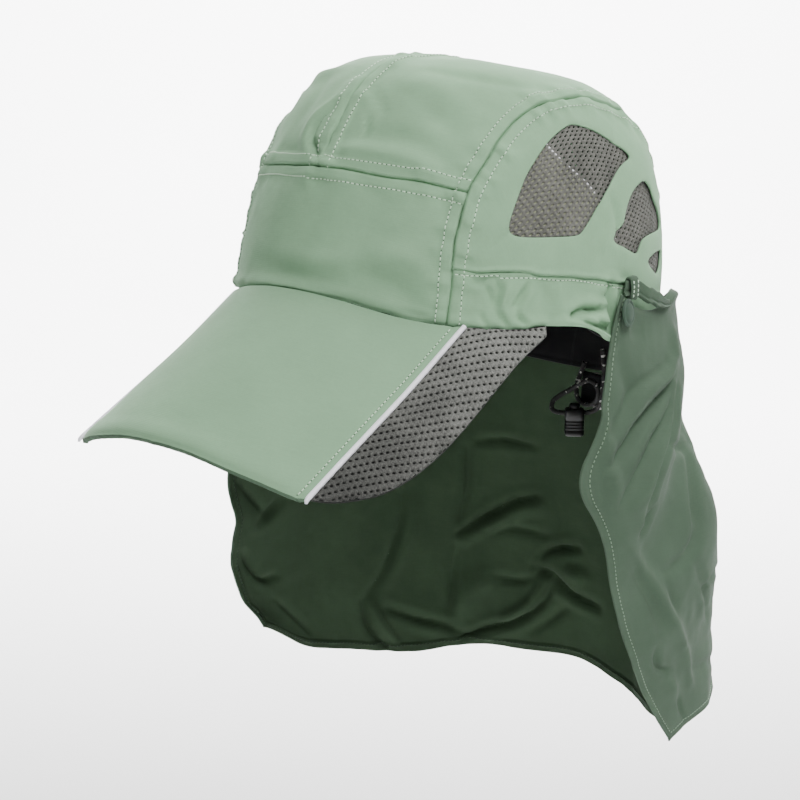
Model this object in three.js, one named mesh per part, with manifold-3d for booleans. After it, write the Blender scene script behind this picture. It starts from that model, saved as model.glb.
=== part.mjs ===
// Legionnaire cap: a six-panel peaked cap with mesh windows in its sides, a
// long peak with mesh inserts, and a neck flap snapped on round sides and back.
// Millimetres, +Z up. The peak points to -Y, the wearer's left side is +X.
// The origin is the centre of the head opening.
import * as THREE from 'three';
import { mergeVertices } from 'three/addons/utils/BufferGeometryUtils.js';
import Module from 'manifold-3d';

const wasm = await Module();
wasm.setup();

// ---- driving dimensions -------------------------------------------------
const PITCH = 11.57;          // the crown tips back by this angle, degrees
const CY = -10.3;             // fore-aft shift of the crown's own axis
const CZ = -0.6;              // height of the crown's base plane
const CROWN_H = 115.2;        // crown height over its base plane
const R_FRONT = 95.1;         // half lengths of the base oval
const R_SIDE = 87.1;
const R_BACK = 99.5;
const OVAL_Q = 2.02;          // roundness of the base oval
const EXP_M = { front: 1.97, side: 3.11, back: 1.8 };
const EXP_N = 3.92;
const SEAM_X = -3;            // the centre seam sits a little off the middle
const CLOTH = 1.3;            // wall of the crown panels
const GAP = 0.4;              // clearance between neighbouring pieces
const FRONT_SEAM_H = 61;      // height of the seam over the front panel
const BRIM_T = 2.4;           // peak thickness
const PIPE_X = 65.2;          // the piping runs at this half width
const FLAP_T = 1.2;
const CORD_D = 2.3;
const CORD_STEPS = 44;
const SNAP_R = 5.8;

const D2R = Math.PI / 180;
const lerp = (a, b, t) => a + (b - a) * t;
const V = (x, y, z) => new THREE.Vector3(x, y, z);

// ---- tables -------------------------------------------------------------
// lower edge of the crown: azimuth from the front, height over the base plane
const RIM = [
  { phi: 0, h: 10.9 }, { phi: 8, h: 10.7 }, { phi: 16, h: 9.8 }, { phi: 24, h: 8.1 }, { phi: 32, h: 6.6 }, { phi: 45, h: 6.3 },
  { phi: 58, h: 8 }, { phi: 69, h: 11 }, { phi: 78, h: 12 }, { phi: 92, h: 7 },
  { phi: 110, h: 2 }, { phi: 130, h: -3 }, { phi: 155, h: -7 }, { phi: 180, h: -8 },
];
// seam between the lower band and the side panels
const BAND_TOP = [
  { phi: 0, h: 28 }, { phi: 40, h: 28.4 }, { phi: 46, h: 28.6 }, { phi: 62, h: 30.7 },
  { phi: 76, h: 31.8 }, { phi: 93, h: 30.8 }, { phi: 120, h: 27 }, { phi: 150, h: 21 }, { phi: 180, h: 19 },
];
// side seam, from the band at the front over the top to the band at the back
const SIDE_SEAM = [
  { phi: 40.4, psi: 10.6 }, { phi: 40.6, psi: 18 }, { phi: 41.9, psi: 25.6 }, { phi: 46.2, psi: 35 },
  { phi: 52.9, psi: 44.8 }, { phi: 62.5, psi: 52.6 }, { phi: 83.9, psi: 58.6 },
  { phi: 100, psi: 57.6 }, { phi: 116, psi: 54.5 }, { phi: 128, psi: 48 }, { phi: 138, psi: 36 },
  { phi: 144, psi: 24 }, { phi: 147, psi: 12.5 },
];
const SEAM_CORNER_A = 0.26;   // share of the side seam that runs up the front
const SEAM_CORNER_B = 0.74;
// windows in the side panels, outline seen from the side
const WINDOWS = [
  [{ y: -52.3, z: 57.5 }, { y: -49.1, z: 64.7 }, { y: -41.1, z: 77.7 }, { y: -31.3, z: 87.2 },
    { y: -23.7, z: 92.2 }, { y: -14.3, z: 96 }, { y: -9.5, z: 96.2 }, { y: -1.2, z: 93.6 },
    { y: 12.6, z: 86 }, { y: 21.6, z: 80 }, { y: 11.1, z: 78.2 }, { y: 3.9, z: 74.2 },
    { y: -2.5, z: 69.3 }, { y: -7.8, z: 65.6 }, { y: -14.3, z: 59.3 }, { y: -19.4, z: 54.7 },
    { y: -22.5, z: 52.8 }, { y: -49.5, z: 54.4 }],
  [{ y: 28.1, z: 70.2 }, { y: 17.3, z: 67.9 }, { y: 11.7, z: 64.1 }, { y: 7.3, z: 58.5 },
    { y: 4.3, z: 54 }, { y: -3.2, z: 50 }, { y: -1.4, z: 47.9 }, { y: 7.2, z: 44.2 },
    { y: 16.5, z: 40 }, { y: 19.5, z: 44.1 }, { y: 22.8, z: 46.5 }, { y: 34, z: 46.9 },
    { y: 50, z: 46 }, { y: 49, z: 51.5 }, { y: 38, z: 60.5 }, { y: 34, z: 67 }],
  [{ y: 24.6, z: 36.4 }, { y: 36, z: 38.5 }, { y: 52, z: 37 }, { y: 49, z: 30 }, { y: 39.6, z: 27.3 }],
];
// peak: outer edge seen from above, from the middle of the front to the crown
const BRIM_EDGE = [
  { x: 0, y: -177.7 }, { x: 14, y: -176.8 }, { x: 36, y: -173.3 }, { x: 52, y: -167.6 },
  { x: 62, y: -162.4 }, { x: 65.2, y: -159.6 }, { x: 71, y: -153.2 }, { x: 74.6, y: -147.6 },
  { x: 79.7, y: -136.6 }, { x: 83, y: -122.6 }, { x: 84.4, y: -106 }, { x: 84.6, y: -90 },
  { x: 84.3, y: -74 }, { x: 83.8, y: -57 }, { x: 84.2, y: -40.5 },
];
// neck flap, a row for each station from the near front edge round the back to
// the far front edge: azimuth and height of its top, middle point, hem point
const FLAP = [
  { phi: 91, top: 27, out: 4.2, mx: 94, my: -16, mz: -76, hx: 88, hy: 46, hz: -184 },
  { phi: 96.5, top: 21.5, out: 4.2, mx: 98, my: 4, mz: -78, hx: 86, hy: 60, hz: -182 },
  { phi: 110, top: 16.5, out: 4.6, mx: 94, my: 33, mz: -80, hx: 82, hy: 82, hz: -180 },
  { phi: 124, top: 21, out: 6, mx: 80, my: 66, mz: -80, hx: 69, hy: 104, hz: -178 },
  { phi: 138, top: 15, out: 5, mx: 62, my: 87, mz: -84, hx: 53, hy: 108, hz: -192 },
  { phi: 152, top: 7, out: 5.5, mx: 44, my: 108, mz: -90, hx: 37, hy: 112, hz: -208 },
  { phi: 166, top: 1, out: 5, mx: 21, my: 117, mz: -94, hx: 16, hy: 123, hz: -207 },
  { phi: 180, top: -1, out: 5, mx: -2, my: 121, mz: -96, hx: -4, hy: 128, hz: -203 },
  { phi: 194, top: 1, out: 5, mx: -28, my: 119, mz: -96, hx: -28, hy: 131, hz: -199 },
  { phi: 208, top: 7, out: 5.5, mx: -54, my: 110, mz: -94, hx: -54, hy: 124, hz: -199 },
  { phi: 222, top: 15, out: 6.5, mx: -78, my: 92, mz: -92, hx: -78, hy: 104, hz: -196 },
  { phi: 236, top: 21, out: 6, mx: -96, my: 66, mz: -88, hx: -94, hy: 76, hz: -197 },
  { phi: 250, top: 15.5, out: 4.4, mx: -107, my: 34, mz: -86, hx: -108, hy: 43, hz: -190 },
  { phi: 263.5, top: 21.5, out: 4.2, mx: -112, my: 2, mz: -86, hx: -115, hy: 18, hz: -184 },
  { phi: 269, top: 27, out: 4.2, mx: -112, my: -37, mz: -88, hx: -116, hy: -2, hz: -177 },
];
// folds of the flap: start and end in sheet shares, width, height (out is +)
const FOLDS = [
  { u0: 0.24, v0: 0.12, u1: 0.02, v1: 0.5, w: 0.035, a: 5 },
  { u0: 0.27, v0: 0.16, u1: 0.06, v1: 0.62, w: 0.03, a: -4 },
  { u0: 0.3, v0: 0.22, u1: 0.13, v1: 0.7, w: 0.035, a: 4 },
  { u0: 0.4, v0: 0.3, u1: 0.33, v1: 0.85, w: 0.04, a: -3 },
  { u0: 0.2, v0: 0.44, u1: 0.22, v1: 0.84, w: 0.06, a: 11 },
  { u0: 0.25, v0: 0.16, u1: 0.24, v1: 0.36, w: 0.05, a: -5 },
  { u0: 0.5, v0: 0.2, u1: 0.48, v1: 0.95, w: 0.04, a: 4 },
  { u0: 0.63, v0: 0.25, u1: 0.66, v1: 1, w: 0.04, a: -4 },
  { u0: 0.76, v0: 0.3, u1: 0.8, v1: 0.95, w: 0.04, a: 4 },
  { u0: 0.88, v0: 0.15, u1: 0.93, v1: 0.6, w: 0.03, a: -3 },
];

// ---- crown surface ------------------------------------------------------
function table(rows, key, x) {
  const s = Math.abs(x);
  if (s <= rows[0].phi) return rows[0][key];
  for (let i = 1; i < rows.length; i++) {
    if (s <= rows[i].phi) {
      const a = rows[i - 1], b = rows[i];
      const t = (s - a.phi) / (b.phi - a.phi);
      return lerp(a[key], b[key], t * t * (3 - 2 * t));
    }
  }
  return rows[rows.length - 1][key];
}
const mAt = (p) => {
  const c = Math.cos(p * D2R);
  return c > 0 ? c * c * EXP_M.front + (1 - c * c) * EXP_M.side : c * c * EXP_M.back + (1 - c * c) * EXP_M.side;
};
const rhoAt = (p) => {
  const c = Math.cos(p * D2R), s = Math.sin(p * D2R);
  const b = c > 0 ? R_FRONT : R_BACK;
  return Math.pow(Math.pow(Math.abs(s) / R_SIDE, OVAL_Q) + Math.pow(Math.abs(c) / b, OVAL_Q), -1 / OVAL_Q);
};
const psiFromH = (p, h) => Math.asin(Math.pow(Math.max(h, 0) / CROWN_H, mAt(p) / 2)) / D2R;
const hFromPsi = (p, psi) => CROWN_H * Math.pow(Math.sin(psi * D2R), 2 / mAt(p));
function place(r, p, h) {
  const x = r * Math.sin(p * D2R), y = -r * Math.cos(p * D2R) + CY;
  const s = Math.sin(PITCH * D2R), c = Math.cos(PITCH * D2R);
  return V(x, y * c + h * s, CZ - y * s + h * c);
}
// point of the crown's outer surface at azimuth p and height h over the base
function crownH(p, h) {
  const k = h <= 0 ? 1 : Math.pow(Math.max(1 - Math.pow(h / CROWN_H, mAt(p)), 0), 1 / EXP_N);
  return place(rhoAt(p) * k, p, h);
}
// the same from azimuth and rise angle psi (90 at the top)
function crownPsi(p, psi) {
  const k = Math.pow(Math.cos(psi * D2R), 2 / EXP_N);
  return place(rhoAt(p) * k, p, hFromPsi(p, psi));
}
// disc chart: distance from the centre is 90 - psi
function crownDisc(a, b) {
  const r = Math.hypot(a, b);
  return crownPsi(Math.atan2(a, -b) / D2R, 90 - Math.max(r, 0.02));
}
const disc = (p, psi) => [(90 - psi) * Math.sin(p * D2R), -(90 - psi) * Math.cos(p * D2R)];

// ---- closed solids from a grid of points --------------------------------
// f(u, v) gives the outer point; the inner one lies t inside along the normal
function shell(f, nu, nv, t, { closed = false, inset = 0, flip = false } = {}) {
  const e = 1e-3, pos = [];
  const at = (u, v) => f(u, v);
  const nrm = (u, v) => {
    const u0 = Math.max(u - e, closed ? u - e : 0), u1 = Math.min(u + e, closed ? u + e : 1);
    const v0 = Math.max(v - e, 0), v1 = Math.min(v + e, 1);
    const n = at(u1, v).sub(at(u0, v)).cross(at(u, v1).sub(at(u, v0))).normalize();
    return flip ? n.negate() : n;
  };
  const nU = closed ? nu : nu + 1;
  for (let layer = 0; layer < 2; layer++)
    for (let j = 0; j <= nv; j++)
      for (let i = 0; i < nU; i++) {
        const u = i / nu, v = j / nv;
        const p = at(u, v).addScaledVector(nrm(u, v), -(inset + layer * t));
        pos.push(p.x, p.y, p.z);
      }
  const id = (l, i, j) => l * nU * (nv + 1) + j * nU + (closed ? i % nu : i);
  const tri = [];
  const quad = (a, b, c, d) => tri.push(a, b, c, a, c, d);
  for (let j = 0; j < nv; j++)
    for (let i = 0; i < nu; i++) {
      quad(id(0, i, j), id(0, i + 1, j), id(0, i + 1, j + 1), id(0, i, j + 1));
      quad(id(1, i, j + 1), id(1, i + 1, j + 1), id(1, i + 1, j), id(1, i, j));
    }
  for (let i = 0; i < nu; i++) {
    quad(id(1, i, 0), id(1, i + 1, 0), id(0, i + 1, 0), id(0, i, 0));
    quad(id(0, i, nv), id(0, i + 1, nv), id(1, i + 1, nv), id(1, i, nv));
  }
  if (!closed)
    for (let j = 0; j < nv; j++) {
      quad(id(0, 0, j), id(0, 0, j + 1), id(1, 0, j + 1), id(1, 0, j));
      quad(id(1, nu, j), id(1, nu, j + 1), id(0, nu, j + 1), id(0, nu, j));
    }
  return solid(pos, tri);
}
function solid(pos, tri) {
  let vol = 0;
  for (let k = 0; k < tri.length; k += 3) {
    const [a, b, c] = [tri[k], tri[k + 1], tri[k + 2]].map((q) => V(pos[3 * q], pos[3 * q + 1], pos[3 * q + 2]));
    vol += a.dot(b.cross(c));
  }
  if (vol < 0) for (let k = 0; k < tri.length; k += 3) [tri[k + 1], tri[k + 2]] = [tri[k + 2], tri[k + 1]];
  const g = new THREE.BufferGeometry();
  g.setAttribute('position', new THREE.Float32BufferAttribute(pos, 3));
  g.setIndex(tri);
  g.computeVertexNormals();
  return g;
}
function toManifold(geometry) {
  const g = geometry.clone();
  g.deleteAttribute('normal');
  g.deleteAttribute('uv');
  const m = mergeVertices(g, 1e-5);
  return new wasm.Manifold(new wasm.Mesh({
    numProp: 3,
    vertProperties: new Float32Array(m.attributes.position.array),
    triVerts: new Uint32Array(m.index.array),
  }));
}
function fromManifold(m) {
  const mesh = m.getMesh();
  const g = new THREE.BufferGeometry();
  g.setAttribute('position', new THREE.BufferAttribute(Float32Array.from(mesh.vertProperties), 3));
  g.setIndex(Array.from(mesh.triVerts));
  g.computeVertexNormals();
  return g;
}
// ---- curves and patches -------------------------------------------------
function curve(points) {
  const c = new THREE.CatmullRomCurve3(points.map((p) => V(p[0], p[1], 0)), false, 'centripetal');
  c.arcLengthDivisions = 400;
  return (t) => { const q = c.getPointAt(Math.min(Math.max(t, 0), 1)); return [q.x, q.y]; };
}
// Coons patch of four chart curves: bottom and top run along u, left and right along v
function coons(bottom, top, left, right) {
  const p00 = bottom(0), p10 = bottom(1), p01 = top(0), p11 = top(1);
  return (u, v) => [0, 1].map((k) =>
    (1 - v) * bottom(u)[k] + v * top(u)[k] + (1 - u) * left(v)[k] + u * right(v)[k]
    - ((1 - u) * (1 - v) * p00[k] + u * (1 - v) * p10[k] + (1 - u) * v * p01[k] + u * v * p11[k]));
}
// patch inset by share eu, ev at its sides, so that neighbours stay clear
const trim = (patch, eu, ev) => (u, v) => patch(lerp(eu, 1 - eu, u), lerp(ev, 1 - ev, v));
const mirrorX = (f) => (u, v) => { const p = f(u, v); p.x = -p.x; return p; };

// ---- crown panels -------------------------------------------------------
const bandPsi = (p) => psiFromH(p, table(BAND_TOP, 'h', p));
for (const r of [SIDE_SEAM[0], SIDE_SEAM[SIDE_SEAM.length - 1]]) r.psi = bandPsi(r.phi);
const sideSeam = curve(SIDE_SEAM.map((r) => disc(r.phi, r.psi)));
const frontPsi = (p) => psiFromH(p, FRONT_SEAM_H - 2.4 * Math.pow(Math.abs(p) / 42, 3));
// where the front seam meets the side seam
let frontMeet = 0;
for (let t = 0; t < 0.5; t += 0.0005) {
  const [a, b] = sideSeam(t);
  const p = Math.atan2(a, -b) / D2R;
  if (90 - Math.hypot(a, b) < frontPsi(p)) frontMeet = t;
}
const meet = sideSeam(frontMeet);
const meetPhi = Math.atan2(meet[0], -meet[1]) / D2R;
const seamPhiAtH = (h) => {
  const phi0 = 41, psi = psiFromH(phi0, h);
  if (psi < SIDE_SEAM[0].psi) return lerp(41, SIDE_SEAM[0].phi, psi / SIDE_SEAM[0].psi);
  let best = SIDE_SEAM[0].phi;
  for (let t = 0; t <= frontMeet + 0.02; t += 0.002) {
    const [a, b] = sideSeam(t);
    if (90 - Math.hypot(a, b) <= psi) best = Math.atan2(a, -b) / D2R;
  }
  return best;
};
const frontPanel = (() => {
  const rows = 12, half = [];
  for (let k = 0; k <= rows; k++) half.push(seamPhiAtH(lerp(6.5, FRONT_SEAM_H - 2.4, k / rows)) - 0.16);
  return (u, v) => {
    const k = Math.min(v * rows, rows - 1e-6), i = Math.floor(k);
    const p = (2 * u - 1) * lerp(half[i], half[i + 1], k - i);
    const top = FRONT_SEAM_H - 2.4 * Math.pow(Math.abs(p) / 42, 3) - GAP / 2;
    return crownH(p, lerp(table(RIM, 'h', p), top, v));
  };
})();
// centre seam, in the chart, from the front seam over the top to the back band
const centreCurve = (() => {
  const pts = [];
  const y0 = -(90 - frontPsi(0)), y1 = 90 - bandPsi(180);
  for (let k = 0; k <= 12; k++) {
    const b = lerp(y0, y1, k / 12);
    const P = crownDisc(0.001, b);
    const per = crownDisc(1, b).x - crownDisc(0.001, b).x;
    pts.push([SEAM_X / Math.max(per, 0.4) * (P ? 1 : 1), b]);
  }
  return curve(pts);
})();
function topPanel(sign) {
  const seam = (t) => { const [a, b] = sideSeam(lerp(frontMeet, 1, t)); return [sign * a, b]; };
  const c0 = centreCurve(0), c1 = centreCurve(1), s0 = seam(0), s1 = seam(1);
  const phiOf = (q) => Math.atan2(q[0], -q[1]) / D2R;
  const f0 = phiOf(c0), f1 = phiOf(s0);
  const front = (u) => { const p = lerp(f0, f1, u); return disc(p, frontPsi(p)); };
  let b0 = phiOf(c1), b1 = phiOf(s1);
  if (sign > 0 && b0 < 0) b0 += 360;
  if (sign < 0 && b0 > 0) b0 -= 360;
  const back = (u) => { const p = lerp(b0, b1, u); const q = p > 180 ? p - 360 : p < -180 ? p + 360 : p; return disc(p, bandPsi(q)); };
  const patch = trim(coons(front, back, centreCurve, seam), 0.0035, 0.0013);
  return (u, v) => crownDisc(...patch(u, v));
}
function sidePatch() {
  const a = SEAM_CORNER_A, b = SEAM_CORNER_B;
  const top = (u) => sideSeam(lerp(a, b, u));
  const left = (v) => sideSeam(a * v);
  const right = (v) => sideSeam(lerp(1, b, v));
  const pA = SIDE_SEAM[0].phi, pB = SIDE_SEAM[SIDE_SEAM.length - 1].phi;
  const bottom = (u) => { const p = lerp(pA, pB, u); return disc(p, bandPsi(p)); };
  return coons(bottom, top, left, right);
}
const sideChart = sidePatch();
const sidePanel = (u, v) => crownDisc(...trim(sideChart, 0.0022, 0.0035)(u, v));
function cutWindows(geometry, sign) {
  let m = toManifold(geometry);
  for (const outline of WINDOWS) {
    const s = new THREE.Shape(outline.map((q) => new THREE.Vector2(q.y, q.z)));
    const g = new THREE.ExtrudeGeometry(s, { depth: 70, bevelEnabled: false, curveSegments: 1 });
    // shape x -> Y, shape y -> Z, depth -> X
    g.applyMatrix4(new THREE.Matrix4().makeBasis(V(0, 1, 0), V(0, 0, 1), V(1, 0, 0)));
    g.translate(sign > 0 ? 45 : -115, 0, 0);
    m = m.subtract(toManifold(g));
  }
  return fromManifold(m);
}
// mesh that backs the windows: a share of the same patch, further in
const meshPanel = (u, v) => crownDisc(...sideChart(lerp(0.06, 0.84, u), lerp(0.035, 0.93, v)));

// lower band round the sides and the back, gathered in soft ripples
const band = (u, v) => {
  const p = lerp(41.5, 318.5, u), q = p > 180 ? p - 360 : p;
  const lo = table(RIM, 'h', q), hi = table(BAND_TOP, 'h', q) - GAP;
  const h = lerp(lo, hi, v);
  const P = crownH(q, h);
  const k = 0.5 * Math.sin(u * Math.PI * 58) * Math.sin(Math.PI * v);
  const out = V(Math.sin(q * D2R), -Math.cos(q * D2R), 0);
  return P.addScaledVector(out, k - 0.2);
};
const sweat = (u, v) => {
  const p = lerp(0, 360, u), q = p > 180 ? p - 360 : p;
  const back = Math.max(0, -Math.cos(q * D2R));
  const lo = table(RIM, 'h', q) + 1.5 - 6.5 * back, hi = lo + 18;
  return crownH(q, lerp(lo, hi, v));
};

// ---- peak ---------------------------------------------------------------
// height of the peak's upper face over a plan point
const brimZ = (x, y) => {
  const t = (y + 101) / 80, s = (x / 65) * (x / 65);
  const far = Math.min(Math.max((-x - 30) / 54, 0), 1), back = Math.min(Math.max((y + 165) / 60, 0), 1);
  const ramp = (a, b, v) => { const q = Math.min(Math.max((v - a) / (b - a), 0), 1); return q * q * (3 - 2 * q); };
  const near = ramp(40, 76, Math.abs(x)) * ramp(-112, -60, y);
  return 32.4 + 49 * t - (29.1 + 5 * t) * s - 0.9 * t * t - 7 * far * far * back + 3.3 * near;
};
const brimAt = (xy, sign = 1) => V(sign * xy[0], xy[1], brimZ(sign * xy[0], xy[1]));
const edge = curve(BRIM_EDGE.map((r) => [r.x, r.y]));
let tipT = 0;
for (let t = 0; t < 1; t += 0.0005) if (edge(t)[0] < PIPE_X) tipT = t; else break;
// foot of the crown where the peak is sewn on, in plan, kept clear of the wall
const foot = (p) => {
  const P = crownH(p, Math.max(table(RIM, 'h', p), 7)), c = crownH(p, 0);
  const n = V(Math.sin(p * D2R) / R_SIDE, -Math.cos(p * D2R) / R_FRONT, 0).normalize();
  return [lerp(P.x, c.x, 0.15) + n.x * 0.75, lerp(P.y, c.y, 0.15) + n.y * 0.75];
};
const footPhi = (x) => { let p = 0; while (p < 80 && foot(p)[0] < x) p += 0.05; return p; };
const phiPipe = footPhi(PIPE_X), pipeFoot = foot(phiPipe);
const brimCentre = (() => {
  const w = PIPE_X - 0.9, pF = footPhi(w);
  let tF = 0; while (edge(tF)[0] < w) tF += 0.0005;
  const bottom = (u) => foot(Math.abs(2 * u - 1) * pF).map((c, k) => (k === 0 && u < 0.5 ? -c : c));
  const top = (u) => edge(Math.abs(2 * u - 1) * tF).map((c, k) => (k === 0 && u < 0.5 ? -c : c));
  const left = (v) => [-w, lerp(bottom(0)[1], top(0)[1], v)];
  const right = (v) => [w, lerp(bottom(1)[1], top(1)[1], v)];
  const patch = coons(bottom, top, left, right);
  return (u, v) => brimAt(patch(u, v));
})();
const phiEnd = 67.5;
const brimMesh = ((sign) => {
  const w = PIPE_X + 0.9, pF = footPhi(w);
  let tF = 0; while (edge(tF)[0] < w) tF += 0.0005;
  const bottom = (u) => foot(lerp(pF, phiEnd, u));
  const tipIn = [w, edge(tF)[1]], tipOut = edge(tF + 0.012);
  const top = (u) => [lerp(tipIn[0], tipOut[0], u), lerp(tipIn[1], tipOut[1], u)];
  const left = (v) => [w, lerp(bottom(0)[1], tipIn[1], v)];
  const e1 = 0.985;
  const right = (v) => {
    if (v < 0.04) { const a = foot(phiEnd), b = edge(e1); return [lerp(a[0], b[0], v / 0.04), lerp(a[1], b[1], v / 0.04)]; }
    return edge(lerp(e1, tF + 0.012, (v - 0.04) / 0.96));
  };
  const patch = coons(bottom, top, left, right);
  return (u, v) => brimAt(patch(u, v), sign);
});
const piping = (sign) => (u, v) => {
  const y = lerp(pipeFoot[1] - 0.6, -159.4, v), x = sign * (PIPE_X + (u - 0.5) * 1.2);
  return V(x, y, brimZ(x, y) + 0.5);
};

// ---- neck flap ----------------------------------------------------------
function rowsAt(t) {
  const n = FLAP.length - 1, s = Math.min(Math.max(t * n, 0), n - 1e-9), i = Math.floor(s), f = s - i;
  const g = (k) => FLAP[Math.min(Math.max(k, 0), n)];
  const out = {};
  for (const key of Object.keys(FLAP[0])) {
    const a = g(i - 1)[key], b = g(i)[key], c = g(i + 1)[key], d = g(i + 2)[key];
    out[key] = b + 0.5 * f * (c - a + f * (2 * a - 5 * b + 4 * c - d + f * (3 * (b - c) + d - a)));
  }
  return out;
}
function flapBase(u, v) {
  const r = rowsAt(u), q = r.phi > 180 ? r.phi - 360 : r.phi;
  const out = V(Math.sin(q * D2R) / R_SIDE, -Math.cos(q * D2R) / R_BACK, 0).normalize();
  // height over the base plane that gives the wanted world height
  let P = crownH(q, 20);
  for (let k = 0; k < 3; k++) P = crownH(q, 20 + 0), P = crownH(q, hFor(q, r.top));
  const T = P.addScaledVector(out, r.out);
  v *= 1 - 0.075 * Math.exp(-(((1 - u) / 0.045) ** 2));   // rounded far corner
  const a = (1 - v) * (1 - 2 * v), b = 4 * v * (1 - v), c = v * (2 * v - 1);
  return V(a * T.x + b * r.mx + c * r.hx, a * T.y + b * r.my + c * r.hy, a * T.z + b * r.mz + c * r.hz);
}
function hFor(q, z) {
  let lo = -30, hi = 60;
  for (let k = 0; k < 24; k++) { const m = (lo + hi) / 2; if (crownH(q, m).z < z) lo = m; else hi = m; }
  return (lo + hi) / 2;
}
function foldAt(u, v) {
  let d = 0;
  for (const f of FOLDS) {
    const ax = f.u1 - f.u0, ay = f.v1 - f.v0, L = ax * ax + ay * ay;
    const t = Math.min(Math.max(((u - f.u0) * ax + (v - f.v0) * ay) / L, 0), 1);
    const dx = u - (f.u0 + t * ax), dy = (v - (f.v0 + t * ay)) * 0.55;
    d += f.a * Math.exp(-(dx * dx + dy * dy) / (f.w * f.w)) * (0.35 + 0.65 * Math.sin(Math.PI * Math.min(0.15 + 0.85 * t, 1)));
  }
  return d * Math.min(1, v * 5);
}
// the near front edge swings forward below the peak, where the hem turns
const edgeSwing = (u, v) => 13 * Math.exp(-Math.pow((v - 0.36) / 0.08, 2) - Math.pow(u / 0.045, 2));
const flap = (u, v) => {
  const P = flapBase(u, v), e = 2e-3;
  const n = flapBase(Math.min(u + e, 1), v).sub(flapBase(Math.max(u - e, 0), v))
    .cross(flapBase(u, Math.min(v + e, 1)).sub(flapBase(u, Math.max(v - e, 0)))).normalize().negate();
  if (n.dot(V(P.x, P.y, 0)) < 0) n.negate();
  P.addScaledVector(n, foldAt(u, v));
  P.y -= edgeSwing(u, v);
  return P;
};

// strip from the loop over the flap's top edge: azimuth, lower edge, stand-off
const STRIP = [
  { phi: 93.5, z: 25.6, out: 3 }, { phi: 97, z: 25.2, out: 3 }, { phi: 99, z: 24.4, out: 3.8 }, { phi: 103, z: 20.9, out: 6.6 },
  { phi: 108, z: 18, out: 7.2 }, { phi: 113, z: 16.5, out: 7.2 }, { phi: 117, z: 16.2, out: 7.2 },
];
const STRIP_H = 6.6;
const strip = (sign) => (u, v) => {
  const p = lerp(STRIP[0].phi, STRIP[STRIP.length - 1].phi, u);
  const P = crownH(p, hFor(p, table(STRIP, 'z', p) + STRIP_H * v));
  const out = V(Math.sin(p * D2R) / R_SIDE, -Math.cos(p * D2R) / R_BACK, 0).normalize();
  P.addScaledVector(out, table(STRIP, 'out', p));
  P.x *= sign;
  return P;
};

// ---- small pieces -------------------------------------------------------
// turned solid on its own axis, standing on a point with a given direction
function turned(profile, at, dir, seg = 20) {
  const g = new THREE.LatheGeometry(profile.map((q) => new THREE.Vector2(q.r, q.z)), seg);
  g.applyQuaternion(new THREE.Quaternion().setFromUnitVectors(V(0, 1, 0), dir.clone().normalize()));
  g.translate(at.x, at.y, at.z);
  return g;
}
const SNAP_PROFILE = [
  { r: 0, z: 0 }, { r: 3.2, z: 0 }, { r: SNAP_R - 0.5, z: 0.15 }, { r: SNAP_R, z: 0.75 }, { r: SNAP_R - 0.35, z: 1.25 },
  { r: 4.2, z: 1.85 }, { r: 2.2, z: 2.2 }, { r: 0, z: 2.3 },
];
const SNAP_UV = { near: { u: 0.036, v: 0.024 }, far: { u: 0.964, v: 0.024 } };
function snapPlace({ u, v }) {
  const e = 0.03, s = 0.02;
  const n = flap(u + e, v + s).sub(flap(u - e, v + s)).cross(flap(u, v + 2 * s).sub(flap(u, v))).normalize();
  const P = flap(u, v);
  if (n.dot(V(P.x, P.y, 0)) < 0) n.negate();
  return { at: P.addScaledVector(n, 1), dir: n };
}
// belt loop: a flat ring of cloth standing round the strip
const LOOP = { phi: 96.6, z: 28.4, half: 5.2, length: 5.6, wall: 0.8, room: 1.15 };
function loopTab(sign) {
  const a = LOOP.room, w = a + LOOP.wall, h = LOOP.half, b = h - LOOP.wall;
  const s = new THREE.Shape();
  s.moveTo(-w, -h + 0.6); s.lineTo(-w + 0.5, -h); s.lineTo(w - 0.5, -h); s.lineTo(w, -h + 0.6);
  s.lineTo(w, h - 0.6); s.lineTo(w - 0.5, h); s.lineTo(-w + 0.5, h); s.lineTo(-w, h - 0.6);
  const hole = new THREE.Path();
  hole.moveTo(-a, -b); hole.lineTo(-a, b); hole.lineTo(a, b); hole.lineTo(a, -b);
  s.holes.push(hole);
  const g = new THREE.ExtrudeGeometry(s, { depth: LOOP.length, bevelEnabled: false });
  g.translate(0, 0, -LOOP.length / 2);
  const p = LOOP.phi, P = crownH(p, hFor(p, LOOP.z));
  const out = V(Math.sin(p * D2R) / R_SIDE, -Math.cos(p * D2R) / R_BACK, 0).normalize();
  const along = V(-out.y, out.x, 0);
  P.addScaledVector(out, 2.6);
  g.applyMatrix4(new THREE.Matrix4().makeBasis(out, V(0, 0, 1), V(0, 0, 0).copy(along).negate()));
  g.translate(P.x, P.y, P.z);
  if (sign < 0) return mirrored(g);
  return g;
}
// mirror image in X, with the faces turned to point outwards again
function mirrored(g) {
  const m = g.index ? g.toNonIndexed() : g.clone(), a = m.attributes.position.array;
  for (let k = 0; k < a.length; k += 9) {
    for (let q = 0; q < 9; q += 3) a[k + q] = -a[k + q];
    for (let q = 0; q < 3; q++) { const t = a[k + 3 + q]; a[k + 3 + q] = a[k + 6 + q]; a[k + 6 + q] = t; }
  }
  return m;
}
function boxAt(w, d, h, at, rot = [0, 0, 0]) {
  const g = new THREE.BoxGeometry(w, d, h);
  g.applyMatrix4(new THREE.Matrix4().makeRotationFromEuler(new THREE.Euler(...rot)));
  g.translate(at.x, at.y, at.z);
  return g;
}
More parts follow.
